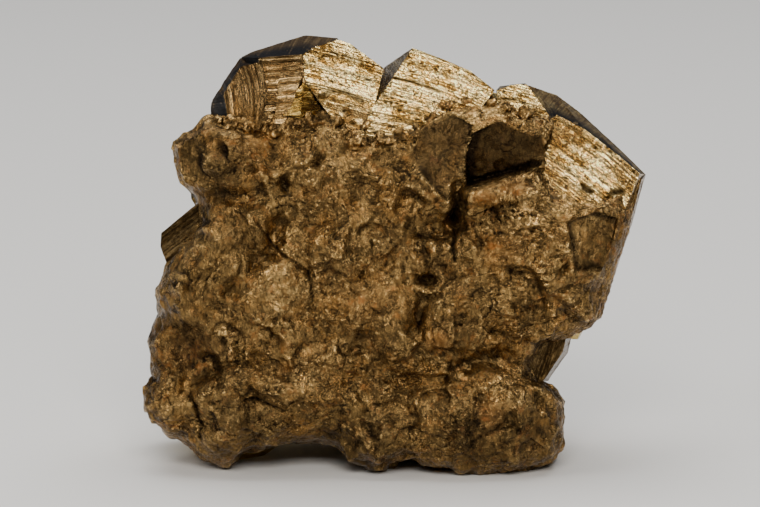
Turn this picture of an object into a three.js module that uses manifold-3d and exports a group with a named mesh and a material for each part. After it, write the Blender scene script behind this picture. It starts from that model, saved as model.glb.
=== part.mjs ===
// A hand-sized pyrite specimen, standing as it does on a shelf: a slab of massive pyrite, broken across
// its near side, with a crust of intergrown striated crystals over its far side, top and right edge.
// Millimetres. +X runs to the right and +Z up as the broken face is looked at, and +Y runs into the piece.
// The origin is under the middle of the specimen, on the surface that it stands on.
import * as THREE from "three";
import { ConvexGeometry } from "three/addons/geometries/ConvexGeometry.js";
import { ImprovedNoise } from "three/addons/math/ImprovedNoise.js";
import { mergeVertices } from "three/addons/utils/BufferGeometryUtils.js";
import Module from "manifold-3d";

const wasm = await Module();
wasm.setup();

// Driving dimensions
const brokenFaceY = -24.6; // plane of the broken face
const massFront = 12; // the broken face stands this far in front of the mass's widest section
const massBack = 13; // and the mass ends this far behind it, inside the crystals
const massSquareness = 5; // how square the mass's section is: 2 is an ellipse
const massDetail = 18; // subdivisions of the sphere that the mass is shaped from
const eyeHeight = THREE.MathUtils.degToRad(10); // the face is looked at from this far above level
const eyeDistance = 900;
const middle = { across: -3, up: 44.1, depth: 2 }; // the point looked at
const middleAboveGround = 45.8;

// Places read off the near side are [across, up] in the plane looked at, and depth behind the broken face.
// This sets such a place in the specimen's own frame.
function placed(across, up, depth) {
  const back = depth - middle.depth;
  const rise = up - middle.up;
  const sine = Math.sin(eyeHeight);
  const cosine = Math.cos(eyeHeight);
  const above =
    (rise * (eyeDistance + back * cosine) - eyeDistance * back * sine) /
    (eyeDistance * cosine + rise * sine);
  const away = (eyeDistance + back * cosine - above * sine) / eyeDistance;
  return new THREE.Vector3(
    middle.across + (across - middle.across) * away,
    brokenFaceY + depth,
    middleAboveGround + above,
  );
}

// The broken mass

// Its edge, clockwise from the upper left, as [across, up]
const massEdge = [
  [-37.4, 71.4], [-31, 70], [-26.6, 69.6], [-20, 71], [-14, 70.8], [-8.6, 68.6], [-2, 68.2], [3, 68.6],
  [7.4, 71.4], [12, 73.8], [17, 74.6], [22, 74], [27, 72], [31.4, 69.6], [30.8, 65], [29.8, 60.8],
  [33, 56.6], [37, 54.4], [42, 55.2], [46, 56.2], [47.4, 52.6], [46.2, 47.8], [43.8, 40], [41, 31.2],
  [35.2, 28], [29.6, 26.4], [27.4, 22], [28.6, 18.6], [31, 17.2], [33.6, 14.8], [33.4, 6.8], [32.4, 3.6],
  [26.4, 0.2], [18.2, -0.4], [12, 0.4], [5.8, 1.4], [3.6, 3], [0.8, 2.8], [-2.6, 1.2], [-5.2, 0.8],
  [-8.8, 2.4], [-11.4, 5.4], [-14.6, 6.6], [-23.4, 6.2], [-29.4, 4.8], [-33.8, 2.2], [-38.2, 3.2],
  [-43.2, 7.2], [-46, 8], [-50.2, 13.6], [-50.2, 17], [-48.2, 19.6], [-49, 26.2], [-46.6, 32],
  [-47.4, 37.4], [-45.4, 41.4], [-42.6, 45], [-39.4, 51], [-39.6, 54.8], [-43.2, 60], [-43.8, 65.8],
];
const massMiddle = [-4, 30];
const edgeStart = 0.355; // share of the way round the edge that lies level with the middle, on the right
// Lumps and hollows of the broken face: [across, up, half width, half height, rise]
const lumps = [
  [-34.6, 62, 8, 8, 2.6], // upper left block
  [-15, 59, 10, 10, 2], // smooth dome under the crystals
  [-11, 44.8, 8, 7, 2],
  [-36.6, 42.4, 8.5, 8, 2.6],
  [-31, 51, 6, 4, 1.6],
  [-23.4, 37.4, 6.5, 8, 2.4], // three-sided lump between two cracks
  [-41, 24.8, 6, 5.5, -3.4], // dark hollow at the left
  [-28, 14.4, 12, 8, 2.8],
  [-34.6, 7.6, 5, 4, 1.4],
  [-46.4, 13.6, 3.6, 5, 1.4],
  [-15, 17.6, 6.5, 6, 2.4],
  [-4.4, 7, 7.5, 6, 2.8],
  [15, 10.4, 14, 9.5, 4],
  [22.6, 17.6, 6, 4, 1.4],
  [29.6, 9, 4, 6, 1],
  [10, 49, 6.5, 3.2, -2.4], // recess beside the upright crack
  [33, 44.6, 9, 10, 2.8],
  [20.6, 56, 9, 2.4, 2.6], // ledge under the dark facets
  [1, 24.6, 7, 5.5, 1.6],
  [15.4, 32.6, 8.5, 6.5, 1.8],
  [-3.4, 33.6, 8, 5.5, 2],
  [-44, 52, 5, 8, -2],
];
// Flat fractures, each cut down to a floor with these corners, [across, up, depth]
const fractures = [
  // the scratched grey facet
  [
    [-1.6, 69.2, 3.4], [7.6, 73.4, 4.6], [15.2, 70.2, 3.4], [14, 61.4, 0.8], [12.2, 52.6, -0.4],
    [8.4, 57, -0.2],
  ],
  // the dark facet beside it, sunk deeper
  [
    [14.6, 63.6, 4.6], [15.8, 68.2, 3.2], [21.2, 70.8, 2.8], [28.4, 68.8, 3],
    [31, 65.6, 3.6], [29.6, 61.6, 5], [19, 58.4, 5.6], [14.6, 57.4, 5.6],
  ],
  // a flat on the three-sided lump
  [
    [-30.6, 45, -0.8], [-24.6, 44.4, -1.8], [-20.8, 41, -2], [-17.6, 35.4, -1.2], [-26.8, 31.8, -1.8],
    [-31.4, 38, -0.8],
  ],
  // smaller flats: upper left, below the crystals, right edge, right foot
  [[-44, 57.2, 3], [-44, 63, 3.6], [-41.2, 68.6, 4.4], [-38.6, 64, 1.6], [-39, 57.6, 1.4]],
  [[-3, 64, 0.2], [0, 66, 0.8], [7.4, 57.6, -0.6], [6, 54.8, -0.8], [-3, 56.4, -0.8]],
  [[34.6, 50.6, 0.4], [40.4, 52.4, 2], [44.6, 51, 3.6], [42, 41.4, 2.4], [36.4, 41, -0.8]],
  [[24.8, 12.8, -2.4], [30.6, 15.4, -0.4], [32.6, 11, 1.4], [31.2, 4.4, 1.6], [25.6, 5.2, -1.6]],
];
const fractureFlare = 1.12; // a fracture opens out by this much towards the near side

// Valleys between the lumps: the line that each follows as [across, up], its half width and its depth
const valleys = [
  { line: [[-23.4, 50], [-25, 44.6], [-28, 42], [-30, 39], [-33, 36.6]], halfWidth: 2, depth: 2.6 },
  { line: [[12.6, 57], [12.6, 53.6], [12, 49.6]], halfWidth: 1.5, depth: 4.5 },
  { line: [[-2, 20.4], [2, 18.4], [7, 18], [11.4, 20.4], [18, 22.4], [27, 19.6]], halfWidth: 2, depth: 2.2 },
  { line: [[-41, 17.8], [-37, 20.4], [-26.6, 22.4], [-22, 20.4], [-18, 20.4]], halfWidth: 2, depth: 1.8 },
  { line: [[-24, 69], [-24.6, 62], [-21, 54], [-17, 50.6], [-13, 51.6]], halfWidth: 2, depth: 1.6 },
  { line: [[-40, 54], [-35, 55.4], [-29, 55]], halfWidth: 2, depth: 1.8 },
  { line: [[7, 40], [6, 35.6], [4.6, 30]], halfWidth: 1.8, depth: 1.8 },
];

const plates = { size: 6.5, step: 0.7, slope: 0.3, crispness: 9 };
const grain = { size: 3.4, height: 0.8 };
const noise = new ImprovedNoise();

function grainAt(point) {
  const at = point.clone().divideScalar(grain.size);
  return grain.height * noise.noise(at.x, at.y, at.z);
}

// A fixed number from -1 to 1 for each set of whole numbers
function chance(i, j, n) {
  const value = Math.sin(i * 127.1 + j * 311.7 + n * 74.7) * 43758.5453;
  return 2 * (value - Math.floor(value)) - 1;
}

const edgeLengths = massEdge.map(([x, z], i) => {
  const [nextX, nextZ] = massEdge[(i + 1) % massEdge.length];
  return Math.hypot(nextX - x, nextZ - z);
});
const edgeLength = edgeLengths.reduce((sum, length) => sum + length);

// The place at a share of the way round the mass's edge, and the direction outwards there
function edgeAt(share) {
  let left = share * edgeLength;
  let i = 0;
  while (i < massEdge.length - 1 && left > edgeLengths[i]) left -= edgeLengths[i++];
  const [x1, z1] = massEdge[i];
  const [x2, z2] = massEdge[(i + 1) % massEdge.length];
  const t = left / edgeLengths[i];
  return {
    x: THREE.MathUtils.lerp(x1, x2, t),
    z: THREE.MathUtils.lerp(z1, z2, t),
    outward: [(z1 - z2) / edgeLengths[i], (x2 - x1) / edgeLengths[i]],
  };
}

// The mass's section from the middle of its face to the middle of its back, in steps that cover equal area
const section = (() => {
  const steps = 400;
  const massThickness = 0.35; // about half the mass's depth over half its width
  const points = [];
  let area = 0;
  for (let i = 0; i <= steps; i++) {
    const turn = (Math.PI * i) / steps;
    const reach = Math.abs(Math.sin(turn)) ** (2 / massSquareness);
    const way = -Math.sign(Math.cos(turn)) * Math.abs(Math.cos(turn)) ** (2 / massSquareness);
    const point = { reach, way };
    const last = points.at(-1);
    const backShare = way > 0 ? 0.45 : 1; // the hidden back takes fewer facets
    if (last) {
      const length = Math.hypot(reach - last.reach, massThickness * (way - last.way));
      area += (backShare * (last.reach + reach) * length) / 2;
    }
    points.push({ ...point, area });
  }
  return points.map((point) => ({ ...point, share: point.area / area }));
})();

function sectionAt(share) {
  const next = section.findIndex((point) => point.share >= share);
  const i = THREE.MathUtils.clamp(next - 1, 0, section.length - 2);
  const [a, b] = [section[i], section[i + 1]];
  const t = THREE.MathUtils.clamp((share - a.share) / (b.share - a.share || 1), 0, 1);
  return { reach: THREE.MathUtils.lerp(a.reach, b.reach, t), way: THREE.MathUtils.lerp(a.way, b.way, t) };
}

function distanceToLine(x, z, line) {
  let nearest = Infinity;
  for (let i = 0; i + 1 < line.length; i++) {
    const [[x1, z1], [x2, z2]] = [line[i], line[i + 1]];
    const [dx, dz] = [x2 - x1, z2 - z1];
    const t = THREE.MathUtils.clamp(((x - x1) * dx + (z - z1) * dz) / (dx * dx + dz * dz), 0, 1);
    nearest = Math.min(nearest, Math.hypot(x - x1 - t * dx, z - z1 - t * dz));
  }
  return nearest;
}

// The broken face is made of small plates, each tilted its own way, that run into each other
function plateHeight(across, up) {
  const column = Math.round(across / plates.size);
  const row = Math.round(up / plates.size);
  let shares = 0;
  let height = 0;
  for (let i = column - 2; i <= column + 2; i++)
    for (let j = row - 2; j <= row + 2; j++) {
      const [jog, lift, slopeRight, slopeUp] = [1, 2, 3, 4].map((n) => chance(i, j, n));
      const dx = across - (i + 0.4 * jog) * plates.size;
      const dz = up - (j + 0.4 * lift) * plates.size;
      const share = Math.exp((-plates.crispness * (dx * dx + dz * dz)) / plates.size ** 2);
      shares += share;
      height += share * (plates.step * lift + plates.slope * (slopeRight * dx + slopeUp * dz));
    }
  return height / shares;
}

// How far the broken face stands out at a place
function faceRelief(across, up) {
  let rise = 0;
  for (const [x, z, halfWidth, halfHeight, height] of lumps) {
    const off = ((across - x) / halfWidth) ** 2 + ((up - z) / halfHeight) ** 2;
    rise += height * Math.exp(-(off ** 1.5));
  }
  for (const { line, halfWidth, depth } of valleys) {
    const off = distanceToLine(across, up, line) / halfWidth;
    rise -= depth * Math.exp(-off * off);
  }
  return rise + plateHeight(across, up);
}

// How much of the face relief a point of the mass takes: all on the face, none past the rim
function faceShare(way) {
  return THREE.MathUtils.smoothstep(-way, 0.1, 0.75);
}

function massGeometry() {
  const ball = new THREE.IcosahedronGeometry(1, massDetail);
  ball.deleteAttribute("normal");
  ball.deleteAttribute("uv");
  const geometry = mergeVertices(ball, 1e-5);
  const position = geometry.attributes.position;
  const point = new THREE.Vector3();
  for (let i = 0; i < position.count; i++) {
    point.fromBufferAttribute(position, i).normalize();
    const turn = Math.atan2(point.z, point.x) / (2 * Math.PI);
    const edge = edgeAt((edgeStart + 1 - turn) % 1);
    const { reach, way } = sectionAt((1 + point.y) / 2);
    const across = THREE.MathUtils.lerp(massMiddle[0], edge.x, reach);
    const up = THREE.MathUtils.lerp(massMiddle[1], edge.z, reach);
    const depth = massFront + way * (way < 0 ? massFront : massBack);
    const at = placed(across, up, depth);
    const outward = new THREE.Vector3(
      edge.outward[0] * reach ** massSquareness,
      Math.sign(way) * Math.abs(way) ** massSquareness,
      edge.outward[1] * reach ** massSquareness,
    ).normalize();
    at.addScaledVector(outward, grainAt(at));
    at.y -= faceShare(way) * faceRelief(across, up);
    position.setXYZ(i, at.x, at.y, at.z);
  }
  return geometry;
}

// Crystals along the broken edge

// Each has a flat near face, drawn as [across, up] corners. It starts at a depth at its lowest corner, leans
// back as it rises and may turn back to the right, all in degrees. Its sides run in to far corners,
// [across, up, depth]. The niche crystal is a pyramid, so its near corners have depths of their own.
const edgeCrystals = [
  {
    name: "pentagon crystal",
    face: [
      [-18.5, 83.8], [-16.4, 85.3], [-11.2, 86.9], [-8.8, 86], [-2.2, 81.2], [-4, 74], [-8.6, 66],
      [-14.6, 73.6], [-18.5, 79.2],
    ],
    depth: 3,
    lean: 19,
    turn: 4,
    far: [[-17.6, 83.4, 32], [-11, 86, 32], [-3, 80.6, 32], [-8.6, 68, 30], [-17, 76, 32]],
  },
  {
    name: "ridge crystal",
    face: [
      [3.5, 85.3], [10.2, 82.8], [15, 80.7], [17.8, 78.6], [20, 76.8], [15.5, 71], [6, 66],
      [-8.4, 65.4], [-4.4, 73.4],
    ],
    depth: 3.6,
    lean: 19,
    turn: -3,
    far: [[-2.2, 81.4, 33], [17, 74.6, 33], [0, 63, 33], [-9, 69, 33]],
  },
  {
    name: "small cream crystal",
    face: [[20.2, 76.8], [23.8, 78], [26.5, 77.9], [31.9, 70.4], [27, 67.6], [20.4, 71]],
    depth: 6,
    lean: 24,
    turn: 6,
    far: [[21, 77.6, 28], [26, 78.2, 28], [30, 72, 28], [21, 70, 28]],
  },
  {
    name: "crown crystal",
    face: [[-27.2, 83.3], [-18.6, 84], [-17.6, 76], [-20.6, 69], [-25, 70], [-27.8, 76]],
    depth: 6,
    lean: 8,
    turn: 0,
    far: [
      [-30.8, 83.4, 20], [-28.6, 84.5, 24], [-18, 87.8, 30], [-11.4, 87.2, 30], [-12, 72, 30], [-30, 74, 24],
    ],
  },
  {
    name: "fan crystal",
    face: [[-31, 81.6], [-26.6, 82.6], [-25.4, 76], [-27, 68.6], [-33, 69], [-34.4, 76]],
    depth: 5,
    lean: 20,
    turn: -22,
    far: [[-36.8, 74.4, 17], [-37, 71, 17], [-34, 79, 18], [-31, 83.3, 20], [-26, 83, 24], [-28, 70, 24]],
  },
  {
    name: "panel crystal",
    face: [[-22.4, 81.6], [-18.9, 82], [-18.7, 79.2], [-21.6, 74.4], [-22, 70], [-24.2, 70], [-23.4, 78.4]],
    depth: 3.6,
    lean: 12,
    turn: 0,
    far: [[-22.4, 82, 14], [-18.6, 82.4, 14], [-16, 70, 14], [-24.4, 70, 14]],
  },
  {
    name: "niche crystal",
    face: [
      [-24.2, 71.8, 4.4], [-20.8, 76, 5.6], [-18.2, 78.4, 5.4], [-18.7, 71.6, 2], [-14.7, 73, 6.8],
      [-16.4, 76.6, 7.4],
    ],
    far: [[-22, 78, 12], [-18.4, 79, 12], [-15, 76, 12], [-15, 67, 12], [-24, 67, 12]],
  },
  {
    name: "shoulder crystal",
    face: [
      [32.4, 71.9], [38, 69], [44.7, 63.8], [49, 60.2], [48.4, 58.6], [46, 53], [36, 50.6], [28, 56],
      [27, 62], [29.6, 70],
    ],
    depth: 2.2,
    lean: 21,
    turn: 4,
    far: [
      [26.6, 77.8, 30], [32.4, 75.8, 30], [37.2, 72.2, 30], [44.7, 65.3, 28], [50.1, 60, 24], [46, 50, 22],
      [28, 52, 28],
    ],
  },
  {
    name: "right side crystal",
    face: [[47, 60], [49.4, 59], [47.2, 50.4], [44, 41.6], [40.8, 31.6], [34, 28.4], [34, 50]],
    depth: 8,
    lean: 4,
    turn: 14,
    far: [
      [50.2, 60, 24], [47.5, 50.2, 24], [44.2, 41, 24], [41.1, 31.1, 22], [35.4, 28, 24], [34, 54, 24],
    ],
  },
  {
    name: "lower right crystal",
    face: [[25, 29], [34.6, 28.6], [33.6, 24.4], [30.2, 19.2], [28.4, 17.4], [25, 20]],
    depth: 7.4,
    lean: 2,
    turn: 12,
    far: [[35.4, 27.8, 26], [34.6, 24.2, 26], [30.6, 18.6, 26], [24, 17.6, 24]],
  },
  {
    name: "dark left crystal",
    face: [[-46.8, 48.2], [-39.7, 54.1], [-34, 54], [-34, 41], [-42, 40.6], [-45.6, 41.8], [-47, 45.4]],
    depth: 14,
    lean: -14,
    turn: -16,
    far: [[-46, 48.6, 32], [-39.6, 54, 34], [-34, 44, 34], [-45.4, 44.4, 32]],
  },
];

// Crystals of the far side: cubes cut by the twelve faces of the pyritohedron. Middle as [across, up, depth],
// half a cube edge, and how far it is turned about X, Y and Z in degrees.
const farCrystals = [
  { middle: [-32, 18, 29], half: 13, turn: [14, -24, 30] },
  { middle: [-10, 22, 33], half: 12.6, turn: [-20, 12, 18] },
  { middle: [13, 18.4, 31], half: 13.4, turn: [10, 8, -28] },
  { middle: [22, 28, 25], half: 9.6, turn: [30, 20, 8] },
  { middle: [-31, 37, 27], half: 12, turn: [-12, 22, -34] },
  { middle: [-14, 42, 35], half: 13.4, turn: [24, -14, 12] },
  { middle: [6, 40, 37], half: 13, turn: [-8, 30, 38] },
  { middle: [24, 43, 33], half: 13.6, turn: [18, -20, -14] },
  { middle: [33, 45, 26], half: 10, turn: [-24, 10, 26] },
  { middle: [-26, 59, 28], half: 12, turn: [12, 34, -12] },
  { middle: [-7, 62, 35], half: 13, turn: [-26, 8, -32] },
  { middle: [12, 60, 36], half: 12, turn: [16, -28, 22] },
  { middle: [29, 58, 31], half: 11.6, turn: [-14, 16, 34] },
  { middle: [-21, 73, 28], half: 9.4, turn: [8, 22, 40] },
  { middle: [1, 70, 28], half: 8.4, turn: [-18, -12, 14] },
  { middle: [18, 66, 28], half: 8.4, turn: [22, 30, -18] },
  // small ones in the gaps
  { middle: [-21, 30, 42], half: 4.6, turn: [20, 10, 44] },
  { middle: [2, 29.6, 45], half: 4.2, turn: [-14, 32, 8] },
  { middle: [15, 31, 44], half: 5, turn: [8, -26, -20] },
  { middle: [-26, 47.6, 40], half: 4.4, turn: [-30, 18, 16] },
  { middle: [-4, 51.6, 47], half: 4, turn: [12, 40, -10] },
  { middle: [15, 51, 47], half: 4.4, turn: [-22, -8, 30] },
  { middle: [-18, 66, 40], half: 4.8, turn: [18, 24, -26] },
  { middle: [4, 73, 40], half: 4.4, turn: [-10, 14, 36] },
  { middle: [22, 70, 38], half: 4, turn: [28, -18, 12] },
  { middle: [34, 32, 32], half: 4.6, turn: [-16, 28, 20] },
  { middle: [-43, 27, 30], half: 4.4, turn: [10, -34, 24] },
];
const cornerCut = 1.08; // distance of the pyritohedron's faces, in half edges

// The planes of a cube cut by a pyritohedron, as [normal, distance] for half an edge of 1
const cubeNormals = [[1, 0, 0], [0, 1, 0], [0, 0, 1]].flatMap((n) => [n, n.map((c) => -c)]);
const pyritohedronNormals = [1, -1].flatMap((a) =>
  [2, -2].flatMap((b) => [[b, a, 0], [0, b, a], [a, 0, b]]),
);
const crystalPlanes = [
  ...cubeNormals.map((n) => ({ normal: new THREE.Vector3(...n), distance: 1 })),
  ...pyritohedronNormals.map((n) => ({ normal: new THREE.Vector3(...n).normalize(), distance: cornerCut })),
];

// The corners where three planes meet inside all the others
function cornersOf(planes) {
  const corners = [];
  const least = 1e-6;
  for (let i = 0; i < planes.length; i++)
    for (let j = i + 1; j < planes.length; j++)
      for (let k = j + 1; k < planes.length; k++) {
        const [a, b, c] = [planes[i], planes[j], planes[k]];
        const bc = b.normal.clone().cross(c.normal);
        const volume = a.normal.dot(bc);
        if (Math.abs(volume) < least) continue;
        const corner = bc
          .multiplyScalar(a.distance)
          .addScaledVector(c.normal.clone().cross(a.normal), b.distance)
          .addScaledVector(a.normal.clone().cross(b.normal), c.distance)
          .divideScalar(volume);
        const isInside = planes.every((p) => p.normal.dot(corner) <= p.distance + least);
        if (isInside && !corners.some((other) => other.distanceTo(corner) < least)) corners.push(corner);
      }
  return corners;
}

function solidOf(geometry) {
  const bare = geometry.clone();
  bare.deleteAttribute("normal");
  bare.deleteAttribute("uv");
  const merged = mergeVertices(bare, 1e-4);
  return new wasm.Manifold(
    new wasm.Mesh({
      numProp: 3,
      vertProperties: merged.attributes.position.array,
      triVerts: new Uint32Array(merged.index.array),
    }),
  );
}

// A corner of a crystal's near face, on the plane that its depth, lean and turn give
function onNearFace([across, up, ownDepth], crystal) {
  if (ownDepth !== undefined) return placed(across, up, ownDepth);
  const lowest = Math.min(...crystal.face.map((corner) => corner[1]));
  const leftmost = Math.min(...crystal.face.map((corner) => corner[0]));
  const leanSlope = Math.tan(THREE.MathUtils.degToRad(crystal.lean));
  const turnSlope = Math.tan(THREE.MathUtils.degToRad(crystal.turn));
  return placed(across, up, crystal.depth + (up - lowest) * leanSlope + (across - leftmost) * turnSlope);
}

function edgeCrystalSolid(crystal) {
  const near = crystal.face.map((corner) => onNearFace(corner, crystal));
  const far = crystal.far.map((corner) => placed(...corner));
  return solidOf(new ConvexGeometry([...near, ...far]));
}

const unitCorners = cornersOf(crystalPlanes);

function farCrystalSolid({ middle: [across, up, depth], half, turn }) {
  const rotation = new THREE.Euler(...turn.map(THREE.MathUtils.degToRad));
  const centre = placed(across, up, depth);
  const corners = unitCorners.map((corner) =>
    corner.clone().multiplyScalar(half).applyEuler(rotation).add(centre),
  );
  return solidOf(new ConvexGeometry(corners));
}

// What a fracture takes away: everything in front of its floor
function fractureSolid(floor) {
  const middleOf = (i) => floor.reduce((sum, corner) => sum + corner[i], 0) / floor.length;
  const open = floor.map(([across, up]) => [
    THREE.MathUtils.lerp(middleOf(0), across, fractureFlare),
    THREE.MathUtils.lerp(middleOf(1), up, fractureFlare),
    -massFront,
  ]);
  return solidOf(new ConvexGeometry([...floor, ...open].map((corner) => placed(...corner))));
}

// The surface that the specimen stands on trims its lowest points to small flats.
function groundSolid() {
  const size = 300;
  const box = new THREE.BoxGeometry(size, size, size);
  box.translate(0, 0, -size / 2);
  return solidOf(box);
}

// The far crystals grow out of one heart, which leaves no hollow between them.
function heartSolid() {
  return solidOf(new ConvexGeometry(farCrystals.map((crystal) => placed(...crystal.middle))));
}

// The triangles of the outer skin, without the small gaps that crystals close in between them
function outerSkin(vertices, triangles) {
  const shell = Array.from({ length: vertices.length / 3 }, (_, i) => i);
  const shellOf = (vertex) => {
    while (shell[vertex] !== vertex) vertex = shell[vertex] = shell[shell[vertex]];
    return vertex;
  };
  for (let i = 0; i < triangles.length; i += 3) {
    shell[shellOf(triangles[i])] = shellOf(triangles[i + 1]);
    shell[shellOf(triangles[i + 1])] = shellOf(triangles[i + 2]);
  }
  let outermost = triangles[0];
  for (const vertex of triangles) if (vertices[3 * vertex] > vertices[3 * outermost]) outermost = vertex;
  return triangles.filter((vertex) => shellOf(vertex) === shellOf(outermost));
}

function specimenGeometry() {
  const crystals = [...edgeCrystals.map(edgeCrystalSolid), ...farCrystals.map(farCrystalSolid)];
  const whole = solidOf(massGeometry());
  const mass = fractures.map(fractureSolid).reduce((rest, cut) => rest.subtract(cut), whole);
  const body = mass.add(heartSolid());
  const grown = crystals.reduce((joined, crystal) => joined.add(crystal), body);
  const { numProp, vertProperties, triVerts } = grown.subtract(groundSolid()).getMesh();
  const geometry = new THREE.BufferGeometry();
  geometry.setAttribute("position", new THREE.BufferAttribute(new Float32Array(vertProperties), numProp));
  geometry.setIndex(new THREE.BufferAttribute(outerSkin(vertProperties, triVerts), 1));
  geometry.computeVertexNormals();
  return geometry;
}

const pyriteMaterial = new THREE.MeshStandardMaterial({ color: 0x8a6a3a, roughness: 0.42, metalness: 0.9 });

const specimen = new THREE.Mesh(specimenGeometry(), pyriteMaterial);
specimen.name = "pyrite_cluster";

const group = new THREE.Group();
group.add(specimen);

export default group;
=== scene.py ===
import math

import bmesh
import bpy
import numpy as np
from mathutils import Matrix, Vector, noise


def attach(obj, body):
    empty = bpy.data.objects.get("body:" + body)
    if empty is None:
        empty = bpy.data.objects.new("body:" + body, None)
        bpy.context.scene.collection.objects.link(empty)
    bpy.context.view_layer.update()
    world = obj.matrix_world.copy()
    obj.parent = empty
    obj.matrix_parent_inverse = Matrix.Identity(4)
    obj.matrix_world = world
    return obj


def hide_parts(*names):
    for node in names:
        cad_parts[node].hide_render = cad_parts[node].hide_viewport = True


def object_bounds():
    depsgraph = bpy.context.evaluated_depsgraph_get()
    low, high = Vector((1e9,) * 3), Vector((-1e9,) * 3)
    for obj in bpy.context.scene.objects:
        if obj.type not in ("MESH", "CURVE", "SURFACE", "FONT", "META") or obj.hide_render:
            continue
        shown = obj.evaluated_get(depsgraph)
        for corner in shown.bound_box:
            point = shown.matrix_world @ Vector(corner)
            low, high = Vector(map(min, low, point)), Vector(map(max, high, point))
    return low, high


# A pyrite specimen: a broken mass in front, and striated crystals behind it, over its top and its right edge.
# Places are in millimetres and are made metres when a mesh is finished.
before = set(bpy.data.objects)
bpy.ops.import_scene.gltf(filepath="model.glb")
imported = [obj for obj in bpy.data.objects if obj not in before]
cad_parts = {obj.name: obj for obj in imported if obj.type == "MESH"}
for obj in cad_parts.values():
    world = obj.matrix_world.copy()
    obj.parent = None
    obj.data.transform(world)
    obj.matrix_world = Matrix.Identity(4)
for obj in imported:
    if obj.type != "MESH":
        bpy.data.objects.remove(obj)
cadLow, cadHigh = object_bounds()
mm = 0.001
margin = 0.02  # the visual model keeps this far inside the CAD box
boxLow = np.array(cadLow) / mm + margin
boxHigh = np.array(cadHigh) / mm - margin
boxLow[2] = 0

# Places read off the near side are [across, up] in the plane looked at, and depth behind the broken face.
nearSide = {
    "faceY": -24.6,  # plane of the broken face
    "eyeHeight": math.radians(10),
    "eyeDistance": 900,
    "middleAcross": -3,
    "middleUp": 44.1,
    "middleDepth": 2,
    "middleAboveGround": 45.8,
    "frameWidth": 152,  # what the photograph's width takes in at the middle
}


def placed(across, up, depth):
    side = nearSide
    across, up, depth = np.broadcast_arrays(*(np.asarray(value, float) for value in (across, up, depth)))
    sine, cosine = math.sin(side["eyeHeight"]), math.cos(side["eyeHeight"])
    distance = side["eyeDistance"]
    back = depth - side["middleDepth"]
    rise = up - side["middleUp"]
    above = (rise * (distance + back * cosine) - distance * back * sine) / (distance * cosine + rise * sine)
    away = (distance + back * cosine - above * sine) / distance
    x = side["middleAcross"] + (across - side["middleAcross"]) * away
    return np.stack([x, side["faceY"] + depth, side["middleAboveGround"] + above], -1)


def seenAt(points):  # the [across, up] at which a point of the specimen is seen
    side = nearSide
    sine, cosine = math.sin(side["eyeHeight"]), math.cos(side["eyeHeight"])
    distance = side["eyeDistance"]
    back = points[:, 1] - side["faceY"] - side["middleDepth"]
    above = points[:, 2] - side["middleAboveGround"]
    away = distance + back * cosine - above * sine
    across = side["middleAcross"] + (points[:, 0] - side["middleAcross"]) * distance / away
    return across, side["middleUp"] + distance * (above * cosine + back * sine) / away


def smooth(value, low, high):
    share = np.clip((value - low) / (high - low), 0, 1)
    return share * share * (3 - 2 * share)


def deselectAll():
    if bpy.context.object and bpy.context.object.mode != "OBJECT":
        bpy.ops.object.mode_set(mode="OBJECT")
    bpy.ops.object.select_all(action="DESELECT")


def addAttribute(mesh, name, values):
    layer = mesh.attributes.new(name, "FLOAT", "POINT")
    layer.data.foreach_set("value", np.asarray(values, np.float32))


def finishPiece(piece, material):
    piece.data.materials.clear()
    piece.data.materials.append(material)
    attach(piece, "root")
    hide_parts("pyrite_cluster")


# Shader nodes

def newGroup(name, inputs, outputs):
    group = bpy.data.node_groups.new(name, "ShaderNodeTree")
    for label, value in inputs:
        socket = group.interface.new_socket(label, in_out="INPUT", socket_type="NodeSocketFloat")
        socket.default_value = value
    for label, kind in outputs:
        group.interface.new_socket(label, in_out="OUTPUT", socket_type=kind)
    return group, group.nodes.new("NodeGroupInput"), group.nodes.new("NodeGroupOutput")


def addNode(tree, kind, settings=None, values=None):
    node = tree.nodes.new(kind)
    for key, value in (settings or {}).items():
        setattr(node, key, value)
    for key, value in (values or {}).items():
        node.inputs[key].default_value = value
    return node


def addMath(tree, operation, *values):
    node = addNode(tree, "ShaderNodeMath", {"operation": operation})
    for socket, value in zip(node.inputs, values):
        if isinstance(value, (int, float)):
            socket.default_value = value
        else:
            tree.links.new(value, socket)
    return node.outputs[0]


def addScaled(tree, value, share, base=0.0):  # value times share, plus base
    return addMath(tree, "MULTIPLY_ADD", value, share, base)


def addRamp(tree, value, stops):
    ramp = tree.nodes.new("ShaderNodeValToRGB")
    tree.links.new(value, ramp.inputs["Fac"])
    elements = ramp.color_ramp.elements
    while len(elements) < len(stops):
        elements.new(0.5)
    for element, (position, colour) in zip(elements, stops):
        element.position = position
        element.color = (*colour, 1)
    return ramp.outputs["Color"]


def addGreys(tree, value, stops):  # a ramp of greys, from pairs of value and grey
    return addRamp(tree, value, [(position, (grey,) * 3) for position, grey in stops])


def addMix(tree, share, first, second, blend="MIX"):
    node = addNode(tree, "ShaderNodeMix", {"data_type": "RGBA", "blend_type": blend})
    sockets = [node.inputs[key] for key in ("Factor", "A", "B")]
    for socket, value in zip(sockets, (share, first, second)):
        if isinstance(value, (int, float)):
            socket.default_value = value
        elif isinstance(value, tuple):
            socket.default_value = (*value, 1)
        else:
            tree.links.new(value, socket)
    return node.outputs["Result"]


def addNoise(tree, vector, scale, detail, rough, distortion=0.0):
    values = {"Scale": scale, "Detail": detail, "Roughness": rough, "Distortion": distortion}
    node = addNode(tree, "ShaderNodeTexNoise", {}, values)
    tree.links.new(vector, node.inputs["Vector"])
    return node.outputs[0]


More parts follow.
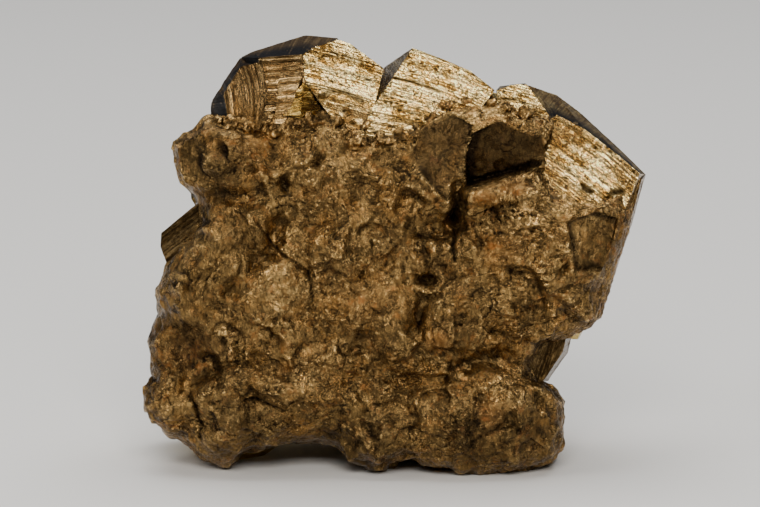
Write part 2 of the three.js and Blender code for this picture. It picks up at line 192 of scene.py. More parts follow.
def addVectorMath(tree, operation, *vectors):
    node = addNode(tree, "ShaderNodeVectorMath", {"operation": operation})
    for socket, vector in zip(node.inputs, vectors):
        if isinstance(vector, tuple):
            socket.default_value = vector
        else:
            tree.links.new(vector, socket)
    return node


def pointValue(tree, name):  # a value stored on the mesh's points
    return addNode(tree, "ShaderNodeAttribute", {"attribute_name": name}).outputs["Fac"]


# Shader groups

sparkleWarp = {"scale": 900, "amount": 0.0006}  # bends the borders of the grains


def makeSparkleGroup():  # small grains, each tilted its own way
    group, inputs, outputs = newGroup(
        "grainSparkle",
        [("Grain size", 0.0005), ("Tilt", 0.3)],
        [("Normal", "NodeSocketVector"), ("Shade", "NodeSocketFloat")],
    )
    link = group.links.new
    coords = addNode(group, "ShaderNodeTexCoord").outputs["Object"]
    warp = addNode(group, "ShaderNodeTexNoise", {}, {"Scale": sparkleWarp["scale"], "Detail": 2})
    link(coords, warp.inputs["Vector"])
    bent = addVectorMath(group, "SCALE", warp.outputs["Color"])
    bent.inputs["Scale"].default_value = sparkleWarp["amount"]
    cells = addNode(group, "ShaderNodeTexVoronoi", {"feature": "F1"})
    link(addVectorMath(group, "ADD", coords, bent.outputs[0]).outputs[0], cells.inputs["Vector"])
    link(addMath(group, "DIVIDE", 1.0, inputs.outputs["Grain size"]), cells.inputs["Scale"])
    centred = addVectorMath(group, "SUBTRACT", cells.outputs["Color"], (0.5, 0.5, 0.5))
    tilted = addVectorMath(group, "SCALE", centred.outputs[0])
    link(inputs.outputs["Tilt"], tilted.inputs["Scale"])
    geometry = addNode(group, "ShaderNodeNewGeometry")
    added = addVectorMath(group, "ADD", geometry.outputs["Normal"], tilted.outputs[0])
    link(addVectorMath(group, "NORMALIZE", added.outputs[0]).outputs[0], outputs.inputs["Normal"])
    parts = addNode(group, "ShaderNodeSeparateColor")
    link(cells.outputs["Color"], parts.inputs[0])
    link(parts.outputs[0], outputs.inputs["Shade"])
    return group


def addStriationCoords(group, inputs):  # the piece's striation map, in lines across and lengths along
    lines = addNode(group, "ShaderNodeUVMap", {"uv_map": "striation"})
    parts = addNode(group, "ShaderNodeSeparateXYZ")
    group.links.new(lines.outputs["UV"], parts.inputs[0])
    joined = addNode(group, "ShaderNodeCombineXYZ")
    for axis, size in (("X", "Pitch"), ("Y", "Length")):
        shared = addMath(group, "DIVIDE", parts.outputs[axis], inputs.outputs[size])
        group.links.new(shared, joined.inputs[axis])
    return joined.outputs[0]


def makeStriationGroup():  # fine lines
    group, inputs, outputs = newGroup(
        "striationLines",
        [("Pitch", 0.0004), ("Length", 0.012)],
        [("Height", "NodeSocketFloat"), ("Line", "NodeSocketFloat")],
    )
    height = addNoise(group, addStriationCoords(group, inputs), 1, 3, 0.6)
    fromMiddle = addMath(group, "ABSOLUTE", addMath(group, "SUBTRACT", height, 0.5))
    group.links.new(height, outputs.inputs["Height"])
    group.links.new(addGreys(group, fromMiddle, [(0.01, 1), (0.035, 0)]), outputs.inputs["Line"])
    return group


def makeContourGroup():  # nested outlines of thin growth layers, each layer with its own tone
    group, inputs, outputs = newGroup(
        "growthLayers",
        [("Pitch", 0.003), ("Length", 0.01), ("Layers", 9)],
        [("Line", "NodeSocketFloat"), ("Tone", "NodeSocketFloat")],
    )
    hills = addNoise(group, addStriationCoords(group, inputs), 1, 4, 0.55)
    level = addMath(group, "MULTIPLY", hills, inputs.outputs["Layers"])
    fromMiddle = addMath(group, "ABSOLUTE", addMath(group, "SUBTRACT", addMath(group, "FRACT", level), 0.5))
    tone = addNode(group, "ShaderNodeTexWhiteNoise", {"noise_dimensions": "1D"})
    group.links.new(addMath(group, "FLOOR", level), tone.inputs["W"])
    group.links.new(addGreys(group, fromMiddle, [(0.42, 0), (0.49, 1)]), outputs.inputs["Line"])
    group.links.new(tone.outputs["Value"], outputs.inputs["Tone"])
    return group


sparkleGroup = makeSparkleGroup()
contourGroup = makeContourGroup()
striationGroup = makeStriationGroup()


def addGroup(tree, group, values):
    node = tree.nodes.new("ShaderNodeGroup")
    node.node_tree = group
    for key, value in values.items():
        node.inputs[key].default_value = value
    return node


def newMaterial(name, metallic):
    material = bpy.data.materials.new(name)
    material.use_nodes = True
    tree = material.node_tree
    shader = next(node for node in tree.nodes if node.type == "BSDF_PRINCIPLED")
    shader.inputs["Metallic"].default_value = metallic
    return material, tree, shader


massLook = {
    # near black, for fine cracks and for painted shade
    "crevice": (0.014, 0.008, 0.003),
    "dark": (0.088, 0.051, 0.017),
    "brown": (0.138, 0.082, 0.027),
    "bronze": (0.245, 0.150, 0.051),
    "orange": (0.30, 0.14, 0.032),
    "pale": (0.82, 0.54, 0.21),
    "rust": (0.30, 0.105, 0.014),
    "metallic": 0.92,
    # each noise: scale per metre, detail, roughness, distortion
    "noises": {
        "patches": (110, 6, 0.7), "smallPatches": (420, 4, 0.7), "granular": (140, 4, 0.6),
        "orange": (150, 5, 0.7), "grain": (1900, 3, 0.7), "fibres": (2300, 3, 0.65, 0.5),
        "hairlines": (190, 6, 0.62), "cracks": (85, 4, 0.5), "crackLengths": (120, 2, 0.5),
        "brightSpots": (900, 4, 0.75), "rustSpots": (340, 6, 0.75), "gloss": (420, 4, 0.6),
        "grit": (1300, 5, 0.75), "lumps": (420, 3, 0.6),
    },
    # how strong each layer is at a value of its noise
    "greys": {
        "granular": [(0.46, 0.05), (0.60, 1)], "orange": [(0.50, 0), (0.62, 1)],
        "grain": [(0.38, 0.3), (0.5, 1), (0.64, 2.4)], "fibres": [(0.36, 0.42), (0.5, 1), (0.66, 2.1)],
        "facets": [(0.1, 0.62), (0.9, 1.25)], "hairlines": [(0.0, 1), (0.014, 0)],
        "cracks": [(0.002, 1), (0.009, 0)], "crackLengths": [(0.46, 0), (0.52, 1)],
        "flecks": [(0.84, 0), (0.97, 1)], "brightSpots": [(0.46, 0), (0.60, 0.9)],
        "rustSpots": [(0.55, 0), (0.68, 1)],
    },
    "patchStops": (0.38, 0.49, 0.62),
    "smallPatchShare": 0.28,
    "orangeShare": 0.3,
    "facetShare": 0.35,
    "facets": {"Grain size": 0.0014, "Tilt": 0.42},
    "sparkle": {"Grain size": 0.00042},
    "fibreStretch": {"Scale": (1, 1, 0.22), "Rotation": (0, 0.7, 0)},
    # share of the granular places in a layer, and the layer's share elsewhere
    "flatCalm": (-0.8, 1),
    "grainShare": (0.4, 0.12),
    "fibreShare": (-0.45, 0.75),
    "sparkleTilt": (0.5, 0.12),
    "bumpShare": (0.5, 0.32),
    "crackMiddle": 0.47,
    "hairlineShare": 0.85,
    "gloss": (0.36, 0.06),
    "bumpDistance": 0.0006,
}


def addCracks(tree, look, noiseOf):  # fine hairlines all over, and longer cracks broken into lengths
    hairline = addMath(tree, "ABSOLUTE", addMath(tree, "SUBTRACT", noiseOf("hairlines"), 0.5))
    hairline = addGreys(tree, hairline, look["greys"]["hairlines"])
    crack = addMath(tree, "ABSOLUTE", addMath(tree, "SUBTRACT", noiseOf("cracks"), look["crackMiddle"]))
    crack = addGreys(tree, crack, look["greys"]["cracks"])
    lengths = addGreys(tree, noiseOf("crackLengths"), look["greys"]["crackLengths"])
    crack = addMath(tree, "MULTIPLY", crack, lengths)
    return addMath(tree, "MAXIMUM", addMath(tree, "MULTIPLY", hairline, look["hairlineShare"]), crack)


def makeMassMaterial(look):
    material, tree, shader = newMaterial("tarnishedMass", look["metallic"])
    link = tree.links.new
    coords = addNode(tree, "ShaderNodeTexCoord").outputs["Object"]

    def noiseOf(name, vector=coords):
        return addNoise(tree, vector, *look["noises"][name])

    def layer(name, value):
        return addGreys(tree, value, look["greys"][name])

    # patches of brown and bronze, some of them granular and others smooth
    small = addMath(tree, "MULTIPLY", noiseOf("smallPatches"), look["smallPatchShare"])
    patches = addScaled(tree, noiseOf("patches"), 1 - look["smallPatchShare"], small)
    tones = (look["dark"], look["brown"], look["bronze"])
    colour = addRamp(tree, patches, list(zip(look["patchStops"], tones)))
    calm = addScaled(tree, pointValue(tree, "flat"), *look["flatCalm"])
    granular = addMath(tree, "MULTIPLY", layer("granular", noiseOf("granular")), calm)
    orange = addMath(tree, "MULTIPLY", layer("orange", noiseOf("orange")), look["orangeShare"])
    colour = addMix(tree, orange, colour, look["orange"])
    # grains, thin fibres and small facets
    grainShare = addScaled(tree, granular, *look["grainShare"])
    colour = addMix(tree, grainShare, colour, layer("grain", noiseOf("grain")), "MULTIPLY")
    stretched = addNode(tree, "ShaderNodeMapping", {}, look["fibreStretch"])
    link(coords, stretched.inputs["Vector"])
    fibres = noiseOf("fibres", stretched.outputs["Vector"])
    fibreShare = addScaled(tree, granular, *look["fibreShare"])
    colour = addMix(tree, fibreShare, colour, layer("fibres", fibres), "MULTIPLY")
    facets = addGroup(tree, sparkleGroup, look["facets"])
    colour = addMix(tree, look["facetShare"], colour, layer("facets", facets.outputs["Shade"]), "MULTIPLY")
    cracks = addCracks(tree, look, noiseOf)
    colour = addMix(tree, cracks, colour, look["crevice"])
    # golden flecks, pale places, and painted highlights on ridges, lit rims and ledges
    sparkle = addGroup(tree, sparkleGroup, look["sparkle"])
    link(addScaled(tree, granular, *look["sparkleTilt"]), sparkle.inputs["Tilt"])
    paleAndHighlight = pointValue(tree, "paleAndHighlight")
    flecks = layer("flecks", sparkle.outputs["Shade"])
    fleckShare = addMath(tree, "MULTIPLY", flecks, addScaled(tree, granular, 0.5, paleAndHighlight))
    colour = addMix(tree, addMath(tree, "MINIMUM", fleckShare, 1.0), colour, look["pale"])
    brightSpots = layer("brightSpots", noiseOf("brightSpots"))
    colour = addMix(tree, addMath(tree, "MULTIPLY", paleAndHighlight, brightSpots), colour, look["pale"])
    # rust, and painted shade in cracks, pits, hollows, on fracture floors and on darker places
    rust = pointValue(tree, "rust")
    spots = layer("rustSpots", noiseOf("rustSpots"))
    spots = addMath(tree, "MULTIPLY", spots, addScaled(tree, rust, 1.5, 0.5))
    rustShare = addMath(tree, "MINIMUM", addScaled(tree, rust, 0.5, spots), 0.9)
    colour = addMix(tree, rustShare, colour, look["rust"])
    colour = addMix(tree, pointValue(tree, "shade"), colour, look["crevice"])
    link(colour, shader.inputs["Base Color"])
    gloss = addScaled(tree, noiseOf("gloss"), *look["gloss"])
    link(addScaled(tree, rustShare, 0.2, gloss), shader.inputs["Roughness"])
    link(addScaled(tree, rustShare, -0.6, look["metallic"]), shader.inputs["Metallic"])
    shader.inputs["Specular IOR Level"].default_value = 0.3
    # relief
    bump = addNode(tree, "ShaderNodeBump", {}, {"Distance": look["bumpDistance"]})
    link(addScaled(tree, granular, *look["bumpShare"]), bump.inputs["Strength"])
    heights = addScaled(tree, noiseOf("lumps"), 0.7, noiseOf("grit"))
    heights = addScaled(tree, fibres, 0.5, heights)
    link(addScaled(tree, cracks, -0.5, heights), bump.inputs["Height"])
    sparkleShare = addMath(tree, "MULTIPLY", granular, 0.8)
    tilted = addMix(tree, sparkleShare, facets.outputs["Normal"], sparkle.outputs["Normal"])
    link(addVectorMath(tree, "NORMALIZE", tilted).outputs[0], bump.inputs["Normal"])
    link(bump.outputs["Normal"], shader.inputs["Normal"])
    return material


# What every crystal shares: its striation maps and noises, as for the mass
crystalSurface = {
    # colour of the painted dark reflection on crystal tops
    "paintedDark": (0.008, 0.008, 0.009),
    "brown": (0.13, 0.066, 0.018),
    "pit": (0.012, 0.006, 0.002),
    "finePitch": 0.00028,
    "broad": {"Pitch": 0.0007, "Length": 0.15},
    "layers": {"Pitch": 0.0032, "Length": 0.010, "Layers": 11},
    "mottle": (420, 6, 0.75),
    "specks": (2100, 3, 0.7),
    "warmSpots": (520, 5, 0.7),
    "colourStops": (0.42, 0.475, 0.55),
    "speckGreys": [(0.36, 0.06), (0.44, 0.75), (0.62, 1.35)],
    "warmGreys": [(0.40, 0), (0.56, 1)],
    "glintGreys": [(0.56, 1), (0.62, 0.45)],
    "bumpDistance": 0.0003,
}
# A crystal's own look: mix is the share of fine lines, broad lines and mottle
darkStriae = {
    "mix": (0.3, 0.5, 0.2), "fineLength": 0.0016, "specks": 0.5, "lines": 0.6, "layers": 0.3, "bump": 0.9,
}
farStriae = {
    "mix": (0.15, 0.35, 0.5), "fineLength": 0.02, "specks": 0.25, "lines": 0.25, "layers": 0, "bump": 0.45,
}
crystalLooks = {
    "creamCrystal": {
        "shadow": (0.13, 0.064, 0.014), "gold": (0.56, 0.345, 0.098), "cream": (0.99, 0.75, 0.34),
        "rough": 0.19, "mix": (0.36, 0.24, 0.4), "fineLength": 0.0009, "specks": 0.9, "lines": 0.75,
        "layers": 0.6, "bump": 1.0,
    },
    "goldCrystal": {
        "shadow": (0.12, 0.06, 0.012), "gold": (0.46, 0.27, 0.058), "cream": (0.95, 0.66, 0.2), "rough": 0.15,
        "mix": (0.3, 0.55, 0.15), "fineLength": 0.003, "specks": 0.35, "lines": 0.8, "layers": 0.3,
        "bump": 1.0,
    },
    # the bronze, dark bronze and darkest looks are darker copies of the crystal colour, given to crystals
    # that lie darker in view: painted shade
    "bronzeCrystal": {
        **darkStriae, "shadow": (0.055, 0.03, 0.01), "gold": (0.185, 0.11, 0.04),
        "cream": (0.42, 0.285, 0.125), "rough": 0.22,
    },
    "darkBronzeCrystal": {
        **darkStriae, "shadow": (0.035, 0.019, 0.007), "gold": (0.12, 0.07, 0.025),
        "cream": (0.29, 0.185, 0.076), "rough": 0.22,
    },
    "shadedDarkestCrystal": {
        **darkStriae, "shadow": (0.02, 0.011, 0.004), "gold": (0.075, 0.045, 0.016),
        "cream": (0.2, 0.13, 0.055), "rough": 0.26,
    },
    "paleFarCrystal": {
        **farStriae, "shadow": (0.46, 0.335, 0.118), "gold": (0.58, 0.425, 0.15), "cream": (0.68, 0.5, 0.185),
        "rough": 0.1,
    },
    "goldFarCrystal": {
        **farStriae, "shadow": (0.34, 0.225, 0.068), "gold": (0.44, 0.3, 0.094),
        "cream": (0.54, 0.375, 0.125), "rough": 0.12,
    },
    "bronzeFarCrystal": {
        **farStriae, "shadow": (0.21, 0.134, 0.042), "gold": (0.29, 0.188, 0.06),
        "cream": (0.38, 0.25, 0.088), "rough": 0.15, "specks": 0.3,
    },
}


def makeCrystalMaterial(name, look):
    material, tree, shader = newMaterial(name, 1.0)
    link = tree.links.new
    surface = crystalSurface
    coords = addNode(tree, "ShaderNodeTexCoord").outputs["Object"]
    fine = addGroup(tree, striationGroup, {"Pitch": surface["finePitch"], "Length": look["fineLength"]})
    broad = addGroup(tree, striationGroup, surface["broad"])
    layers = addGroup(tree, contourGroup, surface["layers"])
    mottle = addNoise(tree, coords, *surface["mottle"])
    specks = addNoise(tree, coords, *surface["specks"])
    mixed = 0.0
    for value, share in zip((fine.outputs["Height"], broad.outputs["Height"], mottle), look["mix"]):
        mixed = addScaled(tree, value, share, mixed)
    # striated colour, with dark lines and specks
    layerTone = addMath(tree, "SUBTRACT", layers.outputs["Tone"], 0.5)
    toned = addScaled(tree, layerTone, 0.16 * look["layers"], mixed)
    tones = (look["shadow"], look["gold"], look["cream"])
    colour = addRamp(tree, toned, list(zip(surface["colourStops"], tones)))
    layerLine = addMath(tree, "MULTIPLY", layers.outputs["Line"], look["layers"])
    broadLine = addMath(tree, "MULTIPLY", broad.outputs["Line"], look["lines"])
    lineShare = addMath(tree, "MAXIMUM", layerLine, broadLine)
    colour = addMix(tree, lineShare, colour, tuple(0.5 * value for value in look["shadow"]))
    speckTone = addGreys(tree, specks, surface["speckGreys"])
    colour = addMix(tree, look["specks"], colour, speckTone, "MULTIPLY")
    # brown film, pits, and painted dark reflection on tops and left-facing sides
    warmSpots = addGreys(tree, addNoise(tree, coords, *surface["warmSpots"]), surface["warmGreys"])
    warmShare = addMath(tree, "MULTIPLY", pointValue(tree, "warm"), addScaled(tree, warmSpots, 0.45, 0.5))
    colour = addMix(tree, warmShare, colour, surface["brown"])
    # pits and seam grooves: painted shade, near black
    pit = pointValue(tree, "pit")
    colour = addMix(tree, addMath(tree, "MULTIPLY", pit, 0.85), colour, surface["pit"])
    streaks = addScaled(tree, broad.outputs["Height"], 0.5, addMath(tree, "MULTIPLY", mottle, 0.5))
    glints = addGreys(tree, streaks, surface["glintGreys"])
    paintedDark = addMath(tree, "MULTIPLY", pointValue(tree, "paintedDark"), glints)
    colour = addMix(tree, paintedDark, colour, surface["paintedDark"])
    link(colour, shader.inputs["Base Color"])
    link(addMath(tree, "SUBTRACT", 1.0, paintedDark), shader.inputs["Metallic"])
    shader.inputs["Specular IOR Level"].default_value = 0.04
    rough = addScaled(tree, mottle, 0.3, look["rough"] - 0.13)
    dullShare = addMath(tree, "MAXIMUM", pit, paintedDark)
    link(addScaled(tree, dullShare, 0.25, rough), shader.inputs["Roughness"])
    # relief
    relief = {"Strength": look["bump"], "Distance": surface["bumpDistance"]}
    bump = addNode(tree, "ShaderNodeBump", {}, relief)
    heights = addScaled(tree, specks, 0.4, mixed)
    heights = addScaled(tree, layers.outputs["Tone"], 0.35 * look["layers"], heights)
    link(addScaled(tree, lineShare, -0.4, heights), bump.inputs["Height"])
    link(bump.outputs["Normal"], shader.inputs["Normal"])
    return material


massMaterial = makeMassMaterial(massLook)
crystalMaterials = {name: makeCrystalMaterial(name, look) for name, look in crystalLooks.items()}
print("materials made")

# The broken mass
brokenMass = {
    # outline of the mass, [across, up]
    "edge": [
        [-37.4, 71.4], [-31, 70], [-26.6, 69.6], [-20, 71], [-14, 70.8], [-8.6, 68.6], [-2, 68.2], [3, 68.6],
        [7.4, 71.4], [12, 73.8], [17, 74.6], [22, 74], [27, 72], [31.4, 69.6], [30.8, 65], [29.8, 60.8],
        [33, 56.6], [37, 54.4], [42, 55.2], [46, 56.2], [47.4, 52.6], [46.2, 47.8], [43.8, 40], [41, 31.2],
        [35.2, 28], [29.6, 26.4], [27.4, 22], [28.6, 18.6], [31, 17.2], [33.6, 14.8], [33.4, 6.8],
        [32.4, 3.6], [26.4, 0.2], [18.2, -0.4], [12, 0.4], [5.8, 1.4], [3.6, 3], [0.8, 2.8], [-2.6, 1.2],
        [-5.2, 0.8], [-8.8, 2.4], [-11.4, 5.4], [-14.6, 6.6], [-23.4, 6.2], [-29.4, 4.8], [-33.8, 2.2],
        [-38.2, 3.2], [-43.2, 7.2], [-46, 8], [-50.2, 13.6], [-50.2, 17], [-48.2, 19.6], [-49, 26.2],
        [-46.6, 32], [-47.4, 37.4], [-45.4, 41.4], [-42.6, 45], [-39.4, 51], [-39.6, 54.8], [-43.2, 60],
        [-43.8, 65.8],
    ],
    "middle": [-4, 30], "edgeStart": 0.355, "front": 12, "back": 13, "squareness": 5, "thickness": 0.35,
    "backShare": 0.12, "cuts": [10, 10], "faceStart": (0.1, 0.75), "fractureWall": (-0.5, 0.1),
    "flatCalm": 0.85, "sink": 0.35, "holeDepth": 0.8, "smoothAngle": 28,
    "plates": {"size": 6.5, "step": 0.7, "slope": 0.3, "crispness": 9},
    "ribPlace": {"across": [36, 43], "up": [26, 32]}, "streakPlace": {"across": [14, 24], "up": [24, 30]},
    # stretch along X, Y and Z, size, octaves, offset and share
    "textures": {
        "grain": [[1, 1, 1], 3.2, 4, 0, 0.26],
        "fineGrain": [[1, 1, 1], 0.9, 2, 9, 0.12],
        "streaks": [[0.25, 1, 1.6], 1.3, 3, 60, 0.5],
        "ribs": [[1.7, 1, 0.25], 1.2, 3, 80, 0.4],
    },
    # size, height and crispness of the small facets
    "facets": [[5.2, 2.3, 16], [2.0, 0.5, 16], [1.0, 0.25, 10]],
    # [across, up, half width, half height, rise]; the last ones are nodules, a nugget and its pit
    "lumps": [
        [-34.6, 62, 8, 8, 2.6], [-15, 59, 10, 10, 2], [-11, 44.8, 8, 7, 2], [-36.6, 42.4, 8.5, 8, 2.6],
        [-31, 51, 6, 4, 1.6], [-23.4, 37.4, 6.5, 8, 2.4], [-41, 24.8, 6, 5.5, -3.4], [-28, 14.4, 12, 8, 2.8],
        [-34.6, 7.6, 5, 4, 1.4], [-46.4, 13.6, 3.6, 5, 1.4], [-15, 17.6, 6.5, 6, 2.4], [-4.4, 7, 7.5, 6, 2.8],
        [15, 10.4, 14, 9.5, 4], [22.6, 17.6, 6, 4, 1.4], [29.6, 9, 4, 6, 1], [10, 49, 6.5, 3.2, -2.4],
        [33, 44.6, 9, 10, 2.8], [20.6, 56, 9, 2.4, 2.6], [1, 24.6, 7, 5.5, 1.6], [15.4, 32.6, 8.5, 6.5, 1.8],
        [-3.4, 33.6, 8, 5.5, 2], [-44, 52, 5, 8, -2], [-34.6, 28.4, 1.6, 1.6, 1.4],
        [-33, 24.4, 0.9, 1.8, 1.1], [-26.6, 25.8, 2, 2, 0.8], [-22, 25.8, 1.3, 1.3, 0.8],
        [-21.6, 21.4, 1.5, 1.5, 0.9], [-22.2, 18, 1.1, 1.1, 1.2], [8.4, 26.8, 2.5, 2.2, 0.8],
        [6.6, 38.4, 1.8, 1, -3], [6.4, 36.6, 2.2, 1.1, 1.6], [-16.6, 64, 1.4, 1, 0.7],
        [-25, 66.4, 1.2, 1, 0.8],
    ],
    # the line followed, half width, depth
    "valleys": [
        [[[-23.4, 50], [-25, 44.6], [-28, 42], [-30, 39], [-33, 36.6]], 2, 2.6],
        [[[12.6, 57], [12.6, 53.6], [12, 49.6]], 1.5, 4.5],
        [[[-2, 20.4], [2, 18.4], [7, 18], [11.4, 20.4], [18, 22.4], [27, 19.6]], 2, 2.2],
        [[[-41, 17.8], [-37, 20.4], [-26.6, 22.4], [-22, 20.4], [-18, 20.4]], 2, 1.8],
        [[[-24, 69], [-24.6, 62], [-21, 54], [-17, 50.6], [-13, 51.6]], 2, 1.6],
        [[[-40, 54], [-35, 55.4], [-29, 55]], 2, 1.8], [[[7, 40], [6, 35.6], [4.6, 30]], 1.8, 1.8],
    ],
    "cracks": [
        [[[-27.4, 50.4], [-24.6, 45.8], [-23, 44.4], [-19.6, 42.2], [-17.4, 40.4], [-16.6, 36.8],
            [-16.6, 34.4]], 0.3, 0.7],
        [[[-30.2, 15], [-27.4, 15.2], [-25.4, 14.4], [-22.4, 13]], 0.28, 0.6],
        [[[12.4, 53.8], [11.8, 49.8], [11.6, 45.8], [12, 42.4]], 0.35, 1.0],
        [[[-4.6, 46.8], [-4.6, 42.4], [-7.4, 39.2], [-10, 37.8]], 0.3, 0.5],
        [[[-41, 15.8], [-39.6, 11.8], [-39, 6.8]], 0.35, 0.9],
        [[[4.6, 28.8], [5.8, 32.4], [7, 34.8], [9, 36.4]], 0.35, 0.4],
        [[[14.2, 56.8], [17, 58], [21, 59.2], [26, 60.8], [30.6, 62.8]], 0.4, 0.4],
        [[[-1, 64.8], [3.4, 60.4], [6.6, 56.4], [10, 52.8]], 0.3, 0.4],
    ],
    # corners [across, up, depth] of each fracture's floor
    "fractures": [
        [[-1.6, 69.2, 3.4], [7.6, 73.4, 4.6], [15.2, 70.2, 3.4], [14, 61.4, 0.8], [12.2, 52.6, -0.4],
            [8.4, 57, -0.2]],
        [[14.6, 63.6, 4.6], [15.8, 68.2, 3.2], [21.2, 70.8, 2.8], [28.4, 68.8, 3], [31, 65.6, 3.6],
            [29.6, 61.6, 5], [19, 58.4, 5.6], [14.6, 57.4, 5.6]],
        [[-30.6, 45, -0.8], [-24.6, 44.4, -1.8], [-20.8, 41, -2], [-17.6, 35.4, -1.2], [-26.8, 31.8, -1.8],
            [-31.4, 38, -0.8]],
        [[-44, 57.2, 3], [-44, 63, 3.6], [-41.2, 68.6, 4.4], [-38.6, 64, 1.6], [-39, 57.6, 1.4]],
        [[-3, 64, 0.2], [0, 66, 0.8], [7.4, 57.6, -0.6], [6, 54.8, -0.8], [-3, 56.4, -0.8]],
        [[34.6, 50.6, 0.4], [40.4, 52.4, 2], [44.6, 51, 3.6], [42, 41.4, 2.4], [36.4, 41, -0.8]],
        [[24.8, 12.8, -2.4], [30.6, 15.4, -0.4], [32.6, 11, 1.4], [31.2, 4.4, 1.6], [25.6, 5.2, -1.6]],
    ],
    # painted shade on each fracture's floor
    "fractureShade": [0.7, 0.8, 0, 0.48, 0.25, 0.3, 0.2],
    # [across, up, half width, half height, strength]
    # places of painted shade, where the mass lies darker, such as its hollows and its bottom
    "shadePlaces": [
        [-35, 61, 5, 6, 0.6], [-41, 24.8, 6, 5.5, 0.6], [-30, 12.6, 8, 6, 0.6], [-5, 7, 8, 6, 0.55],
        [18, 8, 12, 6, 0.5], [40, 46, 4, 8, 0.35], [33, 58, 4, 3, 0.3], [-30, 48, 5, 3, 0.3],
        [12, 29, 12, 4, 0.2], [-44, 44, 3, 8, 0.3],
    ],
    # pale nodules, a nugget and pale patches, and painted highlights on the lit top rims and ledges
    "paleAndHighlight": [
        [-23, 37.6, 5, 6, 0.32], [-18, 19.4, 3, 2.5, 0.6], [6.4, 36.6, 2, 1, 1], [27, 50.6, 4, 4, 0.9],
        [22, 17, 6, 4, 0.5], [-34.6, 28.4, 1.6, 1.6, 0.8], [-33, 24.4, 0.9, 1.8, 1], [-22.2, 18, 1.2, 1.2, 1],
        [-4, 8, 5, 4, 0.25], [-29, 12, 8, 5, 0.2], [34, 57, 5, 4, 0.8], [20, 57.6, 9, 2, 0.6],
        [-15, 60, 8, 7, 0.12], [-6, 42, 10, 6, 0.12], [14, 72, 14, 1.6, 0.6], [30, 59, 4, 5, 0.7],
        [38, 53.4, 7, 2.6, 0.7], [-24, 70, 12, 1.8, 0.5], [-8, 68, 6, 1.6, 0.6], [34, 47, 5, 5, 0.25],
    ],
    "rust": [
        [18, 55.6, 3, 1.6, 0.8], [23, 57.6, 4, 1.4, 0.6], [21, 45, 4, 4, 0.35], [19, 12.8, 2.6, 2.6, 0.5],
        [-41, 24, 5, 5, 0.3], [-22, 25.8, 1.3, 1.3, 0.5], [-21.6, 21.4, 1.5, 1.5, 0.5],
        [8.4, 26.8, 2.5, 2.5, 0.5], [-6, 35, 6, 4, 0.25], [-28, 66, 4, 2.5, 0.3],
    ],
    "porous": [21, 51.6, 5, 3.4],
}


def distanceToLine(across, up, line):
    nearest = np.full(across.shape, 1e9)
    for (x1, z1), (x2, z2) in zip(line, line[1:]):
        dx, dz = x2 - x1, z2 - z1
        t = np.clip(((across - x1) * dx + (up - z1) * dz) / (dx * dx + dz * dz), 0, 1)
        nearest = np.minimum(nearest, np.hypot(across - x1 - t * dx, up - z1 - t * dz))
    return nearest


def chance(i, j, n):  # a fixed number from -1 to 1 for each set of whole numbers
    value = np.sin(i * 127.1 + j * 311.7 + n * 74.7) * 43758.5453
    return 2 * (value - np.floor(value)) - 1


def plateHeight(across, up, plates):
    column, row = np.round(across / plates["size"]), np.round(up / plates["size"])
    shares = np.zeros(across.shape)
    height = np.zeros(across.shape)
    for i in range(-2, 3):
        for j in range(-2, 3):
            jog, lift, slopeRight, slopeUp = (chance(column + i, row + j, n) for n in (1, 2, 3, 4))
            dx = across - (column + i + 0.4 * jog) * plates["size"]
            dz = up - (row + j + 0.4 * lift) * plates["size"]
            share = np.exp(-plates["crispness"] * (dx * dx + dz * dz) / plates["size"] ** 2)
            shares += share
            height += share * (plates["step"] * lift + plates["slope"] * (slopeRight * dx + slopeUp * dz))
    return height / shares


def fractureFloor(across, up, floor):  # depth of its floor, and how far inside its outline
    corners = np.array(floor)
    inside = np.full(across.shape, 1e9)
    for (x1, z1, _), (x2, z2, _) in zip(floor, floor[1:] + floor[:1]):
        length = math.hypot(x2 - x1, z2 - z1)
        inside = np.minimum(inside, ((across - x1) * (z2 - z1) - (up - z1) * (x2 - x1)) / length)
    middle = corners.mean(0)
    slopes = np.linalg.lstsq(corners[:, :2] - middle[:2], corners[:, 2] - middle[2], rcond=None)[0]
    return middle[2] + (across - middle[0]) * slopes[0] + (up - middle[1]) * slopes[1], inside


def blobShare(across, up, blobs):
    share = np.zeros(across.shape)
    for x, z, halfWidth, halfHeight, strength in blobs:
        off = ((across - x) / halfWidth) ** 2 + ((up - z) / halfHeight) ** 2
        share = np.maximum(share, strength * np.exp(-(off ** 1.5)))
    return share


def brokenFacets(points, size, crispness):  # height of small facets, each tilted its own way
    at = points / size
    cell = np.floor(at)
    shares = np.zeros(len(points))
    height = np.zeros(len(points))
    for i in (-1, 0, 1):
        for j in (-1, 0, 1):
            for k in (-1, 0, 1):
                x, y, z = cell[:, 0] + i, cell[:, 1] + j, cell[:, 2] + k
                jogs = [chance(x + 37 * z, y + 17 * n, n) for n in (1, 2, 3)]
                tilts = [chance(x + 37 * z, y + 17 * n, n) for n in (4, 5, 6)]
                offsets = [at[:, n] - (x, y, z)[n] - 0.5 - 0.4 * jogs[n] for n in (0, 1, 2)]
                share = np.exp(-crispness * sum(offset * offset for offset in offsets)) + 1e-12
                shares += share
                slope = sum(tilt * offset for tilt, offset in zip(tilts, offsets))
                height += share * (0.5 * slope + 0.18 * tilts[0])
    return height / shares


def roughness(points, size, octaves, offset=0):
    shift = Vector((offset, 0, 0))
    return np.array([noise.fractal(Vector(point) / size + shift, 0.8, 2.0, octaves) for point in points])


